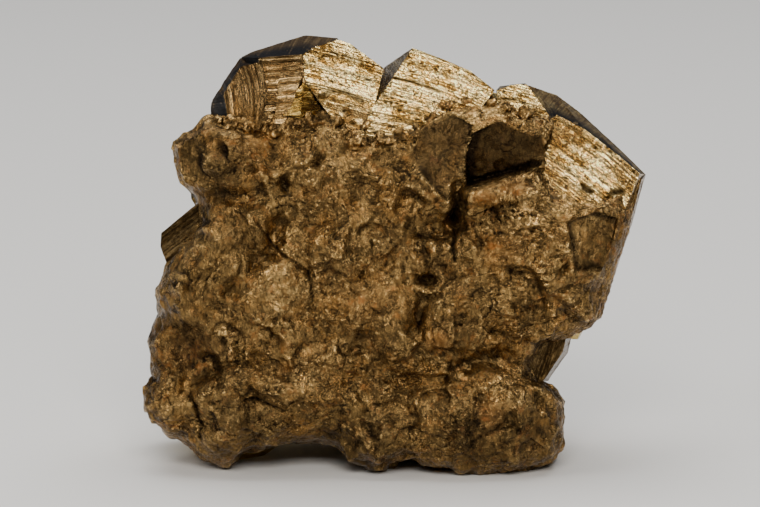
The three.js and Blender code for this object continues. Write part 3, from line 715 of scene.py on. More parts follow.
def hollowness(mesh, points, rounds):  # above 0 in a hollow, under 0 on a ridge
    ends = np.empty(2 * len(mesh.edges), np.int32)
    mesh.edges.foreach_get("vertices", ends)
    starts = np.concatenate([ends[::2], ends[1::2]])
    ends = np.concatenate([ends[1::2], ends[::2]])
    neighbours = np.bincount(starts, minlength=len(points))
    evened = points
    for _ in range(rounds):
        sums = [np.bincount(starts, evened[ends, axis], len(points)) for axis in range(3)]
        evened = np.stack(sums, -1) / neighbours[:, None]
    normals = np.empty(3 * len(points), np.float32)
    mesh.vertex_normals.foreach_get("vector", normals)
    off = ((evened - points) * normals.reshape(-1, 3)).sum(axis=1)
    return off / off.std()


def makeBall(cuts):  # a cube cut into a grid; gives it and its points on a ball of radius 1
    bpy.ops.mesh.primitive_cube_add(size=2)
    piece = bpy.context.object
    bpy.ops.object.mode_set(mode="EDIT")
    bpy.ops.mesh.select_all(action="SELECT")
    for number in cuts:
        bpy.ops.mesh.subdivide(number_cuts=number)
    bpy.ops.object.mode_set(mode="OBJECT")
    ball = np.empty(len(piece.data.vertices) * 3)
    piece.data.vertices.foreach_get("co", ball)
    ball = np.tan(ball.reshape(-1, 3) * math.pi / 4)
    return piece, ball / np.linalg.norm(ball, axis=1)[:, None]


def sectionOfMass(look, share):  # reach from the middle, and way from front to back, in steps of equal area
    turn = np.linspace(0, math.pi, 401)
    power = 2 / look["squareness"]
    reachSteps = np.abs(np.sin(turn)) ** power
    waySteps = -np.sign(np.cos(turn)) * np.abs(np.cos(turn)) ** power
    length = np.hypot(np.diff(reachSteps), look["thickness"] * np.diff(waySteps))
    weight = np.where(waySteps[1:] > 0, look["backShare"], 1)
    area = np.concatenate([[0], np.cumsum(weight * (reachSteps[1:] + reachSteps[:-1]) * length / 2)])
    return np.interp(share, area / area[-1], reachSteps), np.interp(share, area / area[-1], waySteps)


def edgeOfMass(look, share):  # the edge's [across, up] at a share of its way round, and the way out from it
    edge = np.array(look["edge"] + look["edge"][:1])
    steps = np.diff(edge, axis=0)
    lengths = np.hypot(steps[:, 0], steps[:, 1])
    along = np.concatenate([[0], np.cumsum(lengths)])
    at = share * along[-1]
    step = np.clip(np.searchsorted(along, at, side="right") - 1, 0, len(lengths) - 1)
    outX, outZ = -steps[step, 1] / lengths[step], steps[step, 0] / lengths[step]
    return np.interp(at, along, edge[:, 0]), np.interp(at, along, edge[:, 1]), outX, outZ


def shapeMass(look, ball):
    reach, way = sectionOfMass(look, (1 + ball[:, 1]) / 2)
    share = (look["edgeStart"] + 1 - np.arctan2(ball[:, 2], ball[:, 0]) / (2 * math.pi)) % 1
    edgeX, edgeZ, outX, outZ = edgeOfMass(look, share)
    across = look["middle"][0] + (edgeX - look["middle"][0]) * reach
    up = look["middle"][1] + (edgeZ - look["middle"][1]) * reach
    depth = look["front"] + way * np.where(way < 0, look["front"], look["back"])
    rim = reach ** look["squareness"]
    outward = np.stack([outX * rim, np.sign(way) * np.abs(way) ** look["squareness"], outZ * rim], -1)
    outward /= np.linalg.norm(outward, axis=1)[:, None]
    return across, up, placed(across, up, depth), outward, smooth(-way, *look["faceStart"])


def broadRelief(look, across, up):
    relief = np.zeros(len(across))
    for x, z, halfWidth, halfHeight, height in look["lumps"]:
        off = ((across - x) / halfWidth) ** 2 + ((up - z) / halfHeight) ** 2
        relief += height * np.exp(-(off ** 1.5))
    for line, halfWidth, depth in look["valleys"]:
        off = distanceToLine(across, up, line) / halfWidth
        relief -= depth * np.exp(-off * off)
    return relief + plateHeight(across, up, look["plates"])


def grooveDepth(across, up, grooves):
    deepest = np.zeros(len(across))
    for line, halfWidth, depth in grooves:
        off = distanceToLine(across, up, line) / halfWidth
        deepest = np.maximum(deepest, depth * np.exp(-off * off))
    return deepest


def cutFractures(look, across, up, wander, points):
    # sinks each flat fracture to its floor; gives how much each point lies on one, and the painted shade of
    # its floor
    flat = np.zeros(len(points))
    flatShade = np.zeros(len(points))
    wallStart, wallEnd = look["fractureWall"]
    for floor, shade in zip(look["fractures"], look["fractureShade"]):
        floorDepth, inside = fractureFloor(across + 0.3 * wander, up, floor)
        floorY = nearSide["faceY"] + floorDepth
        wall = smooth(inside, wallStart, wallEnd)
        here = wall * (floorY > points[:, 1] - 0.05)
        flat = np.maximum(flat, here)
        flatShade = np.maximum(flatShade, shade * here)
        points[:, 1] += (np.maximum(points[:, 1], floorY) - points[:, 1]) * wall
    return flat, flatShade


def fineRelief(look, across, up, points):
    def texture(name):
        stretch, size, octaves, offset, share = look["textures"][name]
        return share * roughness(points * stretch, size, octaves, offset)

    def place(name):
        return smooth(across, *look[name]["across"]) * smooth(up, *look[name]["up"])

    ribPlace, streakPlace = place("ribPlace"), place("streakPlace")
    small = sum(share * brokenFacets(points, size, crispness) for size, share, crispness in look["facets"])
    height = small * (1 - 0.7 * ribPlace) + (texture("grain") + texture("fineGrain")) * (1 - 0.5 * ribPlace)
    return height + texture("streaks") * streakPlace * (1 - ribPlace) + texture("ribs") * ribPlace


def makeBrokenMass(look):
    deselectAll()
    piece, ball = makeBall(look["cuts"])
    piece.name = "brokenMass"
    mesh = piece.data
    across, up, points, outward, faceShare = shapeMass(look, ball)
    wander = 0.5 * roughness(points, 2.5, 2, 30)
    points[:, 1] -= faceShare * broadRelief(look, across, up)
    flat, flatShade = cutFractures(look, across, up, wander, points)
    crack = grooveDepth(across + wander, up - wander, look["cracks"])
    points[:, 1] += faceShare * crack
    # small facets, grain and pits
    height = (1 - look["flatCalm"] * flat) * fineRelief(look, across, up, points) - look["sink"] * faceShare
    porous = 0.25 + 0.9 * blobShare(across, up, [[*look["porous"], 1]])
    holes = smooth(roughness(points, 1.3, 2, 17), 0.34, 0.5) * porous * (1 - flat)
    points += outward * (height - look["holeDepth"] * holes)[:, None]
    points = np.clip(points, boxLow, boxHigh)
    mesh.vertices.foreach_set("co", (points * mm).ravel())
    mesh.update()
    # what the material needs to know of each point
    # painted highlight on ridges and painted shade in hollows, from how hollow the mesh is at each point
    hollow = hollowness(mesh, points, 8)
    high, low = smooth(-hollow, 0.5, 2.2), smooth(hollow, 0.3, 1.8)
    places = [look[name] for name in ("paleAndHighlight", "rust", "shadePlaces")]
    paleAndHighlight, rust, shadePlaces = (blobShare(across, up, blobs) * faceShare for blobs in places)
    # painted shade: darker places, fracture floors, cracks, pits and hollows
    shade = np.maximum(shadePlaces, flatShade) + 0.7 * smooth(crack, 0.2, 1.0) * faceShare + 0.75 * holes + 0.6 * low
    addAttribute(mesh, "paleAndHighlight", np.clip(paleAndHighlight + 0.5 * high, 0, 1))
    addAttribute(mesh, "rust", rust)
    addAttribute(mesh, "flat", flat)
    addAttribute(mesh, "shade", np.clip(shade, 0, 1))
    mesh.update()
    bpy.ops.object.shade_smooth_by_angle(angle=math.radians(look["smoothAngle"]))
    finishPiece(piece, massMaterial)
    print("broken mass:", len(points), "points")


makeBrokenMass(brokenMass)

# Broken lumps where the crystals meet the mass, each [across, up, depth, size]
rubble = {
    "places": [
        [-35.4, 70, 7, 2], [-32.4, 69.6, 5.6, 2.2], [-29, 69.6, 5, 2.2], [-26, 70, 5, 2], [-23.4, 69.6, 5, 2],
        [-20.6, 70.6, 4.6, 1.9], [-17.4, 70.6, 4.8, 2.1], [-14.6, 71.2, 6, 2], [-12.4, 70, 5.4, 2],
        [-10.4, 68, 4.4, 1.9], [-8, 66.4, 4, 1.8], [-5.4, 66.2, 3.8, 1.7], [-6.6, 69.6, 6.4, 1.6],
        [-2.4, 66.8, 4, 1.8], [0.8, 67.2, 4.2, 1.9], [4, 68.6, 4.8, 1.9], [7, 71, 5.6, 1.8],
        [10.4, 73, 6.4, 1.8], [14.4, 74.4, 7, 1.8], [18.6, 74.6, 7, 1.7], [22, 73, 6.6, 1.7],
        [26, 71.6, 6.4, 1.8], [30, 69.6, 6.8, 1.8],
    ],
    "facets": [[2.2, 1.6, 12], [1.1, 0.7, 10]],
    "paleAndHighlight": 0.25, "smoothAngle": 28,
}


def makeRubble(look):
    deselectAll()
    lumps = []
    for across, up, depth, size in look["places"]:
        place = placed(across, up, depth)
        bpy.ops.mesh.primitive_ico_sphere_add(subdivisions=5, radius=size, location=tuple(place))
        lumps.append(bpy.context.object)
    for lump in lumps:
        lump.select_set(True)
    bpy.context.view_layer.objects.active = lumps[0]
    bpy.ops.object.join()
    piece = bpy.context.object
    piece.name = "junctionRubble"
    piece.data.transform(piece.matrix_world)
    piece.matrix_world = Matrix.Identity(4)
    mesh = piece.data
    mesh.update()
    count = len(mesh.vertices)
    points = np.empty(count * 3)
    mesh.vertices.foreach_get("co", points)
    points = points.reshape(-1, 3)
    normals = np.empty(count * 3)
    mesh.vertices.foreach_get("normal", normals)
    height = sum(share * brokenFacets(points, size, crispness) for size, share, crispness in look["facets"])
    height += 0.8 * roughness(points, 2.6, 3, 5) - 0.3
    points = np.clip(points + normals.reshape(-1, 3) * height[:, None], boxLow, boxHigh)
    mesh.vertices.foreach_set("co", (points * mm).ravel())
    mesh.update()
    # painted highlight on the lumps' high points, and painted shade on their low points
    addAttribute(mesh, "paleAndHighlight", np.clip(look["paleAndHighlight"] + 0.5 * smooth(height, 0.1, 0.5), 0, 1))
    addAttribute(mesh, "rust", np.full(count, 0.1))
    addAttribute(mesh, "flat", np.zeros(count))
    addAttribute(mesh, "shade", 0.6 * smooth(-height, 0.1, 0.5))
    bpy.ops.object.shade_smooth_by_angle(angle=math.radians(look["smoothAngle"]))
    finishPiece(piece, massMaterial)
    print("rubble made:", count, "points")


makeRubble(rubble)

# Crystals along the broken edge
# face: near corners [across, up], or [across, up, depth]; far: corners [across, up, depth]
# lines: angle of the near face's striations, and how much they bend
# seams: grooves, as the line followed, half width and depth
# warm and rough: places as [across, up, half width, half height, strength]
crystalDefaults = {"face": [], "seams": [], "warm": [], "rough": [], "paintedDarkTop": 0, "sideWarm": 0.5}
edgeCrystals = {
    "pentagonCrystal": {
        "face": [
            [-18.5, 83.8], [-16.4, 85.3], [-11.2, 86.9], [-8.8, 86], [-2.2, 81.2], [-4, 74], [-8.6, 66],
            [-14.6, 73.6], [-18.5, 79.2],
        ],
        "depth": 3, "lean": 19, "turn": 4,
        "far": [[-17.6, 83.4, 32], [-11, 86, 32], [-3, 80.6, 32], [-8.6, 68, 30], [-17, 76, 32]],
        "lines": [-12, 0.004], "steps": 0.24, "pits": 0.6, "look": "creamCrystal",
        "seams": [
            [[[-15, 75.4], [-12.4, 76.6], [-9.6, 76.4], [-6.6, 74.6]], 0.35, 0.35],
            [[[-17.6, 82], [-12, 84.4], [-6, 82]], 0.25, 0.2],
        ],
        "warm": [[-9, 70.4, 6.5, 4.6, 1], [-14, 76, 4, 3, 0.5]],
        "rough": [[-9, 71, 6, 4, 0.5], [-8, 79, 4, 3, 0.2]],
    },
    "ridgeCrystal": {
        "face": [
            [3.5, 85.3], [10.2, 82.8], [15, 80.7], [17.8, 78.6], [20, 76.8], [15.5, 71], [6, 66],
            [-8.4, 65.4], [-4.4, 73.4],
        ],
        "depth": 3.6, "lean": 19, "turn": -3,
        "far": [[-2.2, 81.4, 33], [17, 74.6, 33], [0, 63, 33], [-9, 69, 33]],
        "lines": [-10, 0.006], "steps": 0.34, "pits": 0.5, "look": "creamCrystal",
        "seams": [[[[-1, 79.4], [4, 78.4], [9, 76.4]], 0.3, 0.3]],
        "warm": [[0, 68, 8, 2.6, 0.8], [13, 73.6, 6, 2, 0.6]],
        "rough": [[1, 73.4, 5.4, 3, 0.7], [0, 67.6, 8, 2.6, 0.6]],
    },
    "smallCreamCrystal": {
        "face": [[20.2, 76.8], [23.8, 78], [26.5, 77.9], [31.9, 70.4], [27, 67.6], [20.4, 71]],
        "depth": 6, "lean": 24, "turn": 6,
        "far": [[21, 77.6, 28], [26, 78.2, 28], [30, 72, 28], [21, 70, 28]],
        "lines": [-8, 0.01], "steps": 0.22, "pits": 0.4, "look": "creamCrystal",
        "seams": [[[[20.6, 75], [25, 75], [29, 72]], 0.3, 0.3]],
        "warm": [[28, 71.4, 4, 3, 0.7]],
        "rough": [[27, 71.6, 4, 2, 0.5]],
    },
    "crownCrystal": {
        "face": [[-27.2, 83.3], [-18.6, 84], [-17.6, 76], [-20.6, 69], [-25, 70], [-27.8, 76]],
        "depth": 6, "lean": 8, "turn": 0,
        "far": [
            [-30.8, 83.4, 20], [-28.6, 84.5, 24], [-18, 87.8, 30], [-11.4, 87.2, 30], [-12, 72, 30],
            [-30, 74, 24],
        ],
        "lines": [3, 0], "steps": 0.24, "pits": 0.15, "look": "bronzeCrystal", "paintedDarkTop": 1,
        "warm": [[-26, 78, 3, 5, 0.5]],
    },
    "fanCrystal": {
        "face": [[-31, 81.6], [-26.6, 82.6], [-25.4, 76], [-27, 68.6], [-33, 69], [-34.4, 76]],
        "depth": 5, "lean": 20, "turn": -22,
        "far": [
            [-36.8, 74.4, 17], [-37, 71, 17], [-34, 79, 18], [-31, 83.3, 20], [-26, 83, 24], [-28, 70, 24],
        ],
        "lines": [-58, 0.03], "steps": 0.45, "pits": 0.4, "look": "darkBronzeCrystal", "paintedDarkTop": 1,
        "warm": [[-30, 71, 5, 4, 0.8]],
        "rough": [[-30, 70.6, 4, 2.4, 0.7]],
    },
    "panelCrystal": {
        "face": [
            [-22.4, 81.6], [-18.9, 82], [-18.7, 79.2], [-21.6, 74.4], [-22, 70], [-24.2, 70], [-23.4, 78.4],
        ],
        "depth": 3.6, "lean": 12, "turn": 0,
        "far": [[-22.4, 82, 14], [-18.6, 82.4, 14], [-16, 70, 14], [-24.4, 70, 14]],
        "lines": [5, 0], "steps": 0.24, "pits": 0, "look": "bronzeCrystal",
        "warm": [[-22, 74, 2, 4, 0.4]],
    },
    "nicheCrystal": {
        "face": [
            [-24.2, 71.8, 4.4], [-20.8, 76, 5.6], [-18.2, 78.4, 5.4], [-18.7, 71.6, 2], [-14.7, 73, 6.8],
            [-16.4, 76.6, 7.4],
        ],
        "far": [[-22, 78, 12], [-18.4, 79, 12], [-15, 76, 12], [-15, 67, 12], [-24, 67, 12]],
        "lines": [8, 0], "steps": 0.5, "pits": 0, "look": "goldCrystal",
        "warm": [[-15.6, 74, 2.4, 4, 0.9], [-20.6, 73, 3, 3, 0.5]],
    },
    "shoulderCrystal": {
        "face": [
            [32.4, 71.9], [38, 69], [44.7, 63.8], [49, 60.2], [48.4, 58.6], [46, 53], [36, 50.6], [28, 56],
            [27, 62], [29.6, 70],
        ],
        "depth": 2.2, "lean": 21, "turn": 4,
        "far": [
            [26.6, 77.8, 30], [32.4, 75.8, 30], [37.2, 72.2, 30], [44.7, 65.3, 28], [50.1, 60, 24],
            [46, 50, 22], [28, 52, 28],
        ],
        "lines": [-34, 0.004], "steps": 0.26, "pits": 0.5, "look": "creamCrystal", "paintedDarkTop": 1,
        "seams": [
            [[[44.6, 62.2], [42.4, 59.4], [41.4, 57.6]], 0.2, 0.12], [[[38, 57.2], [39.2, 56.6]], 0.5, 0.7],
            [[[43.6, 56.2], [45.2, 56.6]], 0.5, 0.7], [[[33, 71], [37.4, 67.4], [41, 64.4]], 0.2, 0.15],
        ],
        "warm": [[34, 68, 5, 4.4, 1], [46.2, 59.4, 3, 3.2, 0.9], [31, 59, 4, 5, 0.8], [36, 54, 8, 2.4, 0.8]],
        "rough": [[38, 57.6, 1.2, 0.8, 1.4], [43.2, 55.2, 1.4, 0.8, 1.4], [37, 61, 4, 3, 0.3]],
    },
    "rightSideCrystal": {
        "face": [[47, 60], [49.4, 59], [47.2, 50.4], [44, 41.6], [40.8, 31.6], [34, 28.4], [34, 50]],
        "depth": 8, "lean": 4, "turn": 14,
        "far": [
            [50.2, 60, 24], [47.5, 50.2, 24], [44.2, 41, 24], [41.1, 31.1, 22], [35.4, 28, 24], [34, 54, 24],
        ],
        "lines": [72, 0], "steps": 0.3, "pits": 0.3, "look": "bronzeCrystal", "paintedDarkTop": 1,
        "warm": [[43, 44, 5, 8, 0.5]],
        "rough": [[45, 50, 3, 4, 0.4]],
    },
    "lowerRightCrystal": {
        "face": [[25, 29], [34.6, 28.6], [33.6, 24.4], [30.2, 19.2], [28.4, 17.4], [25, 20]],
        "depth": 7.4, "lean": 2, "turn": 12,
        "far": [[35.4, 27.8, 26], [34.6, 24.2, 26], [30.6, 18.6, 26], [24, 17.6, 24]],
        "lines": [70, 0], "steps": 0.3, "pits": 0.1, "look": "shadedDarkestCrystal",
    },
    "darkLeftCrystal": {
        "face": [[-46.8, 48.2], [-39.7, 54.1], [-34, 54], [-34, 41], [-42, 40.6], [-45.6, 41.8], [-47, 45.4]],
        "depth": 14, "lean": -14, "turn": -16,
        "far": [[-46, 48.6, 32], [-39.6, 54, 34], [-34, 44, 34], [-45.4, 44.4, 32]],
        "lines": [40, 0], "steps": 0.3, "pits": 0.1, "look": "shadedDarkestCrystal",
    },
}

# Crystals of the far side: [across, up, depth] of the middle, half a cube edge, turn in degrees
# The last eleven are small ones in the gaps
farCrystals = {
    **crystalDefaults,
    "places": [
        [[-32, 18, 29], 13, [14, -24, 30]], [[-10, 22, 33], 12.6, [-20, 12, 18]],
        [[13, 18.4, 31], 13.4, [10, 8, -28]], [[22, 28, 25], 9.6, [30, 20, 8]],
        [[-31, 37, 27], 12, [-12, 22, -34]], [[-14, 42, 35], 13.4, [24, -14, 12]],
        [[6, 40, 37], 13, [-8, 30, 38]], [[24, 43, 33], 13.6, [18, -20, -14]],
        [[33, 45, 26], 10, [-24, 10, 26]], [[-26, 59, 28], 12, [12, 34, -12]],
        [[-7, 62, 35], 13, [-26, 8, -32]], [[12, 60, 36], 12, [16, -28, 22]],
        [[29, 58, 31], 11.6, [-14, 16, 34]], [[-21, 73, 28], 9.4, [8, 22, 40]],
        [[1, 70, 28], 8.4, [-18, -12, 14]], [[18, 66, 28], 8.4, [22, 30, -18]],
        [[-21, 30, 42], 4.6, [20, 10, 44]], [[2, 29.6, 45], 4.2, [-14, 32, 8]],
        [[15, 31, 44], 5, [8, -26, -20]], [[-26, 47.6, 40], 4.4, [-30, 18, 16]],
        [[-4, 51.6, 47], 4, [12, 40, -10]], [[15, 51, 47], 4.4, [-22, -8, 30]],
        [[-18, 66, 40], 4.8, [18, 24, -26]], [[4, 73, 40], 4.4, [-10, 14, 36]],
        [[22, 70, 38], 4, [28, -18, 12]], [[34, 32, 32], 4.6, [-16, 28, 20]],
        [[-43, 27, 30], 4.4, [10, -34, 24]],
    ],
    "looks": ["paleFarCrystal", "goldFarCrystal", "bronzeFarCrystal", "paleFarCrystal", "goldFarCrystal"],
    "cornerCut": 1.08, "steps": 0.17, "pits": 0.2, "sideWarm": 0,
}
striation = {
    "nearGrid": [0.2, 0.5],  # width across the lines and length along them
    "farGrid": [0.34, 1.2],
    # each noise: size across the lines and along them, and offset
    "noises": {
        "waver": (4, 9, 7), "broad": (1.5, 60, 0), "fine": (0.6, 16, 5),
        "pits": (0.5, 1.1, 9), "pitPatches": (4, 4, 3),
    },
    "waver": 0.15,
    "terraces": 5,
    "pitDepth": 0.2,
    # depth over which the painted dark on tops weakens
    "paintedDarkFade": (9, 20),  # behind the crystal's nearest point
    "leastFace": 3,
    "flatAngle": 2.5,
    "smoothAngle": 20,
}


def cutFace(bm, faces, direction, spacing):
    # cuts coplanar faces into strips square to a direction, and their neighbours' edges with them
    reach = [v.co.dot(direction) for face in faces for v in face.verts]
    low, high = min(reach), max(reach)
    count = max(1, round((high - low) / spacing))
    rest, strips = list(faces), []
    for k in range(1, count):
        cut = low + (high - low) * k / count
        geom = set(rest)
        for face in rest:
            geom.update(face.edges)
            geom.update(face.verts)
        plane = {"plane_co": direction * cut, "plane_no": direction}
        made = bmesh.ops.bisect_plane(bm, geom=list(geom), dist=1e-5, **plane)
        rest = []
        for item in made["geom"]:
            if isinstance(item, bmesh.types.BMFace):
                (rest if item.calc_center_median().dot(direction) > cut else strips).append(item)
    return strips + rest


def ruleFaces(bm, lineDirection, look, bend, seed):
    # cuts each face into a grid along its striations, and lists where each point lies on its faces
    uvLayer = bm.loops.layers.uv.new("striation")
    places = {}
    for number, face in enumerate(list(bm.faces)):
        if face.calc_area() < striation["leastFace"]:
            continue
        normal = face.normal.copy()
        along = lineDirection(normal)
        along = (along - normal * along.dot(normal)).normalized()
        acrossLines = normal.cross(along)
        outline = [v.co.copy() for v in face.verts]
        edges = [((b - a).normalized().cross(normal), a) for a, b in zip(outline, outline[1:] + outline[:1])]
        start = min(corner.dot(along) for corner in outline)
        isNear = normal.y < -0.5
        isTop = not isNear and (normal.z > 0.4 or normal.x < -0.3)
        wide, long = striation["nearGrid" if isNear and look["face"] else "farGrid"]
        cells = cutFace(bm, cutFace(bm, [face], acrossLines, wide), along, long)
        offset = seed * 3.7 + number * 11.3
        done = {}
        for cell in cells:
            for loop in cell.loops:
                vertex = loop.vert
                if vertex not in done:
                    t = vertex.co.dot(along) - start
                    s = vertex.co.dot(acrossLines) + (bend * t * t if isNear else 0)
                    inside = min(-side.dot(vertex.co - corner) for side, corner in edges)
                    done[vertex] = (s, t, inside)
                s, t, inside = done[vertex]
                loop[uvLayer].uv = ((s + offset) * mm, (t + offset) * mm)
        for vertex, (s, t, inside) in done.items():
            places.setdefault(vertex, []).append((s, t, inside, offset, normal, isNear, isTop))
    return places


def lineNoise(name, s, t, offset):  # noise drawn out along the striations
    wide, long, shift = striation["noises"][name]
    return noise.noise(Vector((s / wide, t / long, offset + shift)))


def striate(piece, lineDirection, look, bend, seed):
    # rules the faces, and sinks their grid into terraces, grooves and pits
    bm = bmesh.new()
    bm.from_mesh(piece.data)
    bm.normal_update()
    places = ruleFaces(bm, lineDirection, look, bend, seed)
    vertices = list(bm.verts)
    lowY = min(vertex.co.y for vertex in vertices)
    bm.verts.index_update()
    across, up = seenAt(np.array([vertex.co for vertex in vertices]))
    warm = blobShare(across, up, look["warm"])
    rough = blobShare(across, up, look["rough"])
    groove = grooveDepth(across, up, look["seams"])
    pit, paintedDark, nearShare = np.zeros((3, len(vertices)))
    terraces = striation["terraces"]
    for i, vertex in enumerate(vertices):
        move = Vector()
        for s, t, inside, offset, normal, isNear, isTop in places.get(vertex, []):
            s += striation["waver"] * lineNoise("waver", s, t, offset)
            terrace = math.floor(lineNoise("broad", s, t, offset) * terraces) / terraces
            height = -look["steps"] * (0.7 + 0.8 * terrace + 0.4 * lineNoise("fine", s, t, offset))
            patch = lineNoise("pits", s, t, offset) + 0.5 * lineNoise("pitPatches", s, t, offset)
            least = 0.78 - 0.4 * (look["pits"] + (0.9 * rough[i] if isNear else 0))
            hole = float(smooth(patch, least, least + 0.17))
            height -= striation["pitDepth"] * hole * float(smooth(inside, 0.2, 0.8))
            if isNear:
                height -= groove[i]
                nearShare[i] = 1
            # less deep near the face's own edges
            move += normal * (min(0.0, height) * (0.3 + 0.7 * float(smooth(inside, 0, 0.5))))
            # pits and near-side grooves get painted shade
            pit[i] = max(pit[i], hole, min(1, 2 * groove[i]) if isNear else 0)
            # tops and left-facing sides get painted dark reflection, weaker further back
            if isTop:
                fade = float(smooth(vertex.co.y - lowY, *striation["paintedDarkFade"]))
                paintedDark[i] = look["paintedDarkTop"] * (1 - 0.35 * fade)
        vertex.co += move
    bmesh.ops.triangulate(bm, faces=[f for f in bm.faces if len(f.verts) > 4])
    bm.to_mesh(piece.data)
    bm.free()
    addAttribute(piece.data, "pit", pit)
    addAttribute(piece.data, "warm", warm * nearShare + look["sideWarm"] * (1 - nearShare))
    addAttribute(piece.data, "paintedDark", paintedDark * (1 - nearShare))


def settleCrystal(piece, name, material):
    # clips a crystal to the box, makes it metres and finishes it
    mesh = piece.data
    points = np.empty(len(mesh.vertices) * 3)
    mesh.vertices.foreach_get("co", points)
    points = np.clip(points.reshape(-1, 3), boxLow, boxHigh) * mm
    mesh.vertices.foreach_set("co", points.ravel())
    mesh.update()
    piece.name = name
    deselectAll()
    piece.select_set(True)
    bpy.context.view_layer.objects.active = piece
    bpy.ops.object.shade_smooth_by_angle(angle=math.radians(striation["smoothAngle"]))
    finishPiece(piece, material)


def trimAtGround():
    bpy.ops.mesh.select_all(action="SELECT")
    bpy.ops.mesh.bisect(plane_co=(0, 0, 0), plane_no=(0, 0, 1), use_fill=True, clear_inner=True)


def makeEdgeCrystal(name, look, seed):
    face = np.array([corner[:2] for corner in look["face"]])
    if len(look["face"][0]) == 3:
        depth = [corner[2] for corner in look["face"]]
    else:
        lean, turn = math.tan(math.radians(look["lean"])), math.tan(math.radians(look["turn"]))
        fromLowest = face - face.min(0)
        depth = look["depth"] + fromLowest[:, 1] * lean + fromLowest[:, 0] * turn
    near = placed(face[:, 0], face[:, 1], depth)
    far = placed(*np.array(look["far"]).T)
    mesh = bpy.data.meshes.new(name)
    mesh.from_pydata([*map(tuple, near), *map(tuple, far)], [], [])
    piece = bpy.data.objects.new(name, mesh)
    bpy.context.scene.collection.objects.link(piece)
    deselectAll()
    piece.select_set(True)
    bpy.context.view_layer.objects.active = piece
    bpy.ops.object.mode_set(mode="EDIT")
    bpy.ops.mesh.select_all(action="SELECT")
    bpy.ops.mesh.convex_hull()
    bpy.ops.mesh.select_all(action="SELECT")
    bpy.ops.mesh.dissolve_limited(angle_limit=math.radians(striation["flatAngle"]))
    trimAtGround()
    bpy.ops.mesh.select_all(action="SELECT")
    bpy.ops.mesh.normals_make_consistent(inside=False)
    bpy.ops.object.mode_set(mode="OBJECT")
    angle, bend = math.radians(look["lines"][0]), look["lines"][1]

    def lineDirection(normal):
        return Vector((math.cos(angle), 0, math.sin(angle))) if normal.y < -0.5 else Vector((0.1, 1, -0.15))

    striate(piece, lineDirection, look, bend, seed)
    settleCrystal(piece, name, crystalMaterials[look["look"]])


def makeFarCrystal(name, place, seed):
    (across, up, depth), half, turn = place
    turns = [Matrix.Rotation(math.radians(angle), 3, axis) for angle, axis in zip(turn, "XYZ")]
    rotation = turns[0] @ turns[1] @ turns[2]
    deselectAll()
    bpy.ops.mesh.primitive_cube_add(size=2 * half)
    piece = bpy.context.object
    bpy.ops.object.mode_set(mode="EDIT")
    for a in (1, -1):  # the twelve faces of a pyritohedron
        for b in (2, -2):
            for normal in ((b, a, 0), (0, b, a), (a, 0, b)):
                direction = Vector(normal).normalized()
                plane = {"plane_co": direction * half * farCrystals["cornerCut"], "plane_no": direction}
                bpy.ops.mesh.select_all(action="SELECT")
                bpy.ops.mesh.bisect(use_fill=True, clear_outer=True, **plane)
    bpy.ops.object.mode_set(mode="OBJECT")
    piece.data.transform(rotation.to_4x4())
    piece.data.transform(Matrix.Translation(Vector(placed(across, up, depth))))
    bpy.ops.object.mode_set(mode="EDIT")
    trimAtGround()
    bpy.ops.mesh.select_all(action="SELECT")
    bpy.ops.mesh.normals_make_consistent(inside=False)
    bpy.ops.object.mode_set(mode="OBJECT")
    axes = [rotation @ Vector(axis) for axis in ((1, 0, 0), (0, 1, 0), (0, 0, 1))]

    def lineDirection(normal):  # each cube face is ruled along the next axis
        shares = [abs(normal.dot(axis)) for axis in axes]
        return axes[(shares.index(max(shares)) + 2) % 3]

    striate(piece, lineDirection, farCrystals, 0, seed)
    look = farCrystals["looks"][seed % len(farCrystals["looks"])]
    settleCrystal(piece, name, crystalMaterials[look])


for seed, (name, look) in enumerate(edgeCrystals.items()):
    makeEdgeCrystal(name, {**crystalDefaults, **look}, seed)
print("edge crystals made")
for seed, place in enumerate(farCrystals["places"]):
    makeFarCrystal(f"farCrystal{seed + 1:02d}", place, seed + 20)
print("far crystals made")

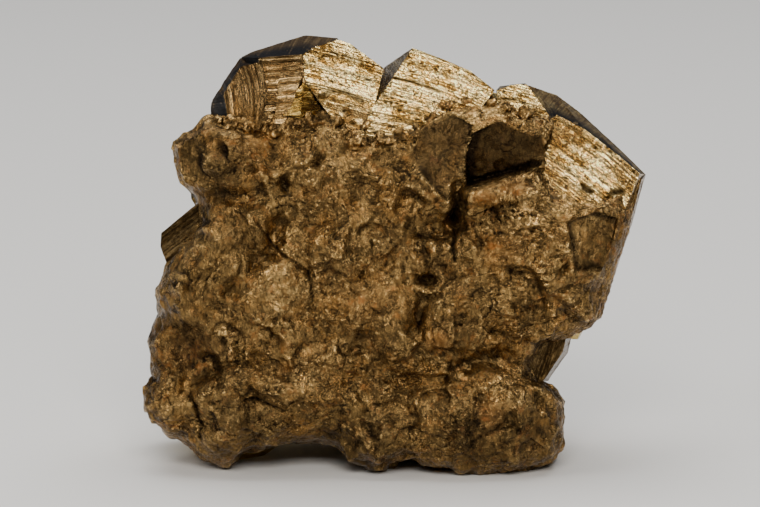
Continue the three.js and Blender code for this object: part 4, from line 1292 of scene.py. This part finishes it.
# Floor, lights and camera
studio = {
    "floorSize": 8,
    "floorColour": (0.74, 0.73, 0.71),
    "floorRoughness": 0.8,
    "lights": {
        "keyLight": {"place": (0.03, -1.1, 0.72), "size": (0.6, 0.45), "power": 15, "colour": (1, 0.96, 0.9)},
        "topLight": {"place": (0, 0.3, 1.5), "size": (1.8, 1.4), "power": 28, "colour": (1, 1, 1)},
        "fillLight": {
            "place": (-1.12, -0.64, 0.85), "size": (0.5, 0.5), "power": 4, "colour": (1, 0.98, 0.95),
        },
    },
    "lightsAim": (0, 0, 0.045),
    "surround": 0.12,
    "sensor": 36,
    "clip": (0.01, 20),
}


def addLight(name, look):
    bpy.ops.object.light_add(type="AREA", location=look["place"])
    light = bpy.context.object
    light.name = name
    light.data.shape = "RECTANGLE"
    light.data.size, light.data.size_y = look["size"]
    light.data.energy = look["power"]
    light.data.color = look["colour"]
    light.rotation_mode = "QUATERNION"
    light.rotation_quaternion = (light.location - Vector(studio["lightsAim"])).to_track_quat("Z", "Y")


def makeStudio():
    deselectAll()
    bpy.ops.mesh.primitive_plane_add(size=studio["floorSize"])
    floor = bpy.context.object
    floor.name = "floor"
    material, _, shader = newMaterial("paleFloor", 0.0)
    shader.inputs["Base Color"].default_value = (*studio["floorColour"], 1)
    shader.inputs["Roughness"].default_value = studio["floorRoughness"]
    floor.data.materials.append(material)
    for name, look in studio["lights"].items():
        addLight(name, look)
    world = bpy.data.worlds.new("studio")
    world.use_nodes = True
    background = world.node_tree.nodes["Background"]
    background.inputs["Color"].default_value = (1, 1, 1, 1)
    background.inputs["Strength"].default_value = studio["surround"]
    bpy.context.scene.world = world
    side = nearSide
    middle = Vector((side["middleAcross"], side["faceY"] + side["middleDepth"], side["middleAboveGround"]))
    back = Vector((0, -math.cos(side["eyeHeight"]), math.sin(side["eyeHeight"])))
    bpy.ops.object.camera_add(location=(middle + back * side["eyeDistance"]) * mm)
    camera = bpy.context.object
    camera.rotation_mode = "QUATERNION"
    camera.rotation_quaternion = back.to_track_quat("Z", "Y")
    camera.data.sensor_width = studio["sensor"]
    camera.data.lens = studio["sensor"] * side["eyeDistance"] / side["frameWidth"]
    camera.data.clip_start, camera.data.clip_end = studio["clip"]
    bpy.context.scene.camera = camera


makeStudio()
print("studio made")
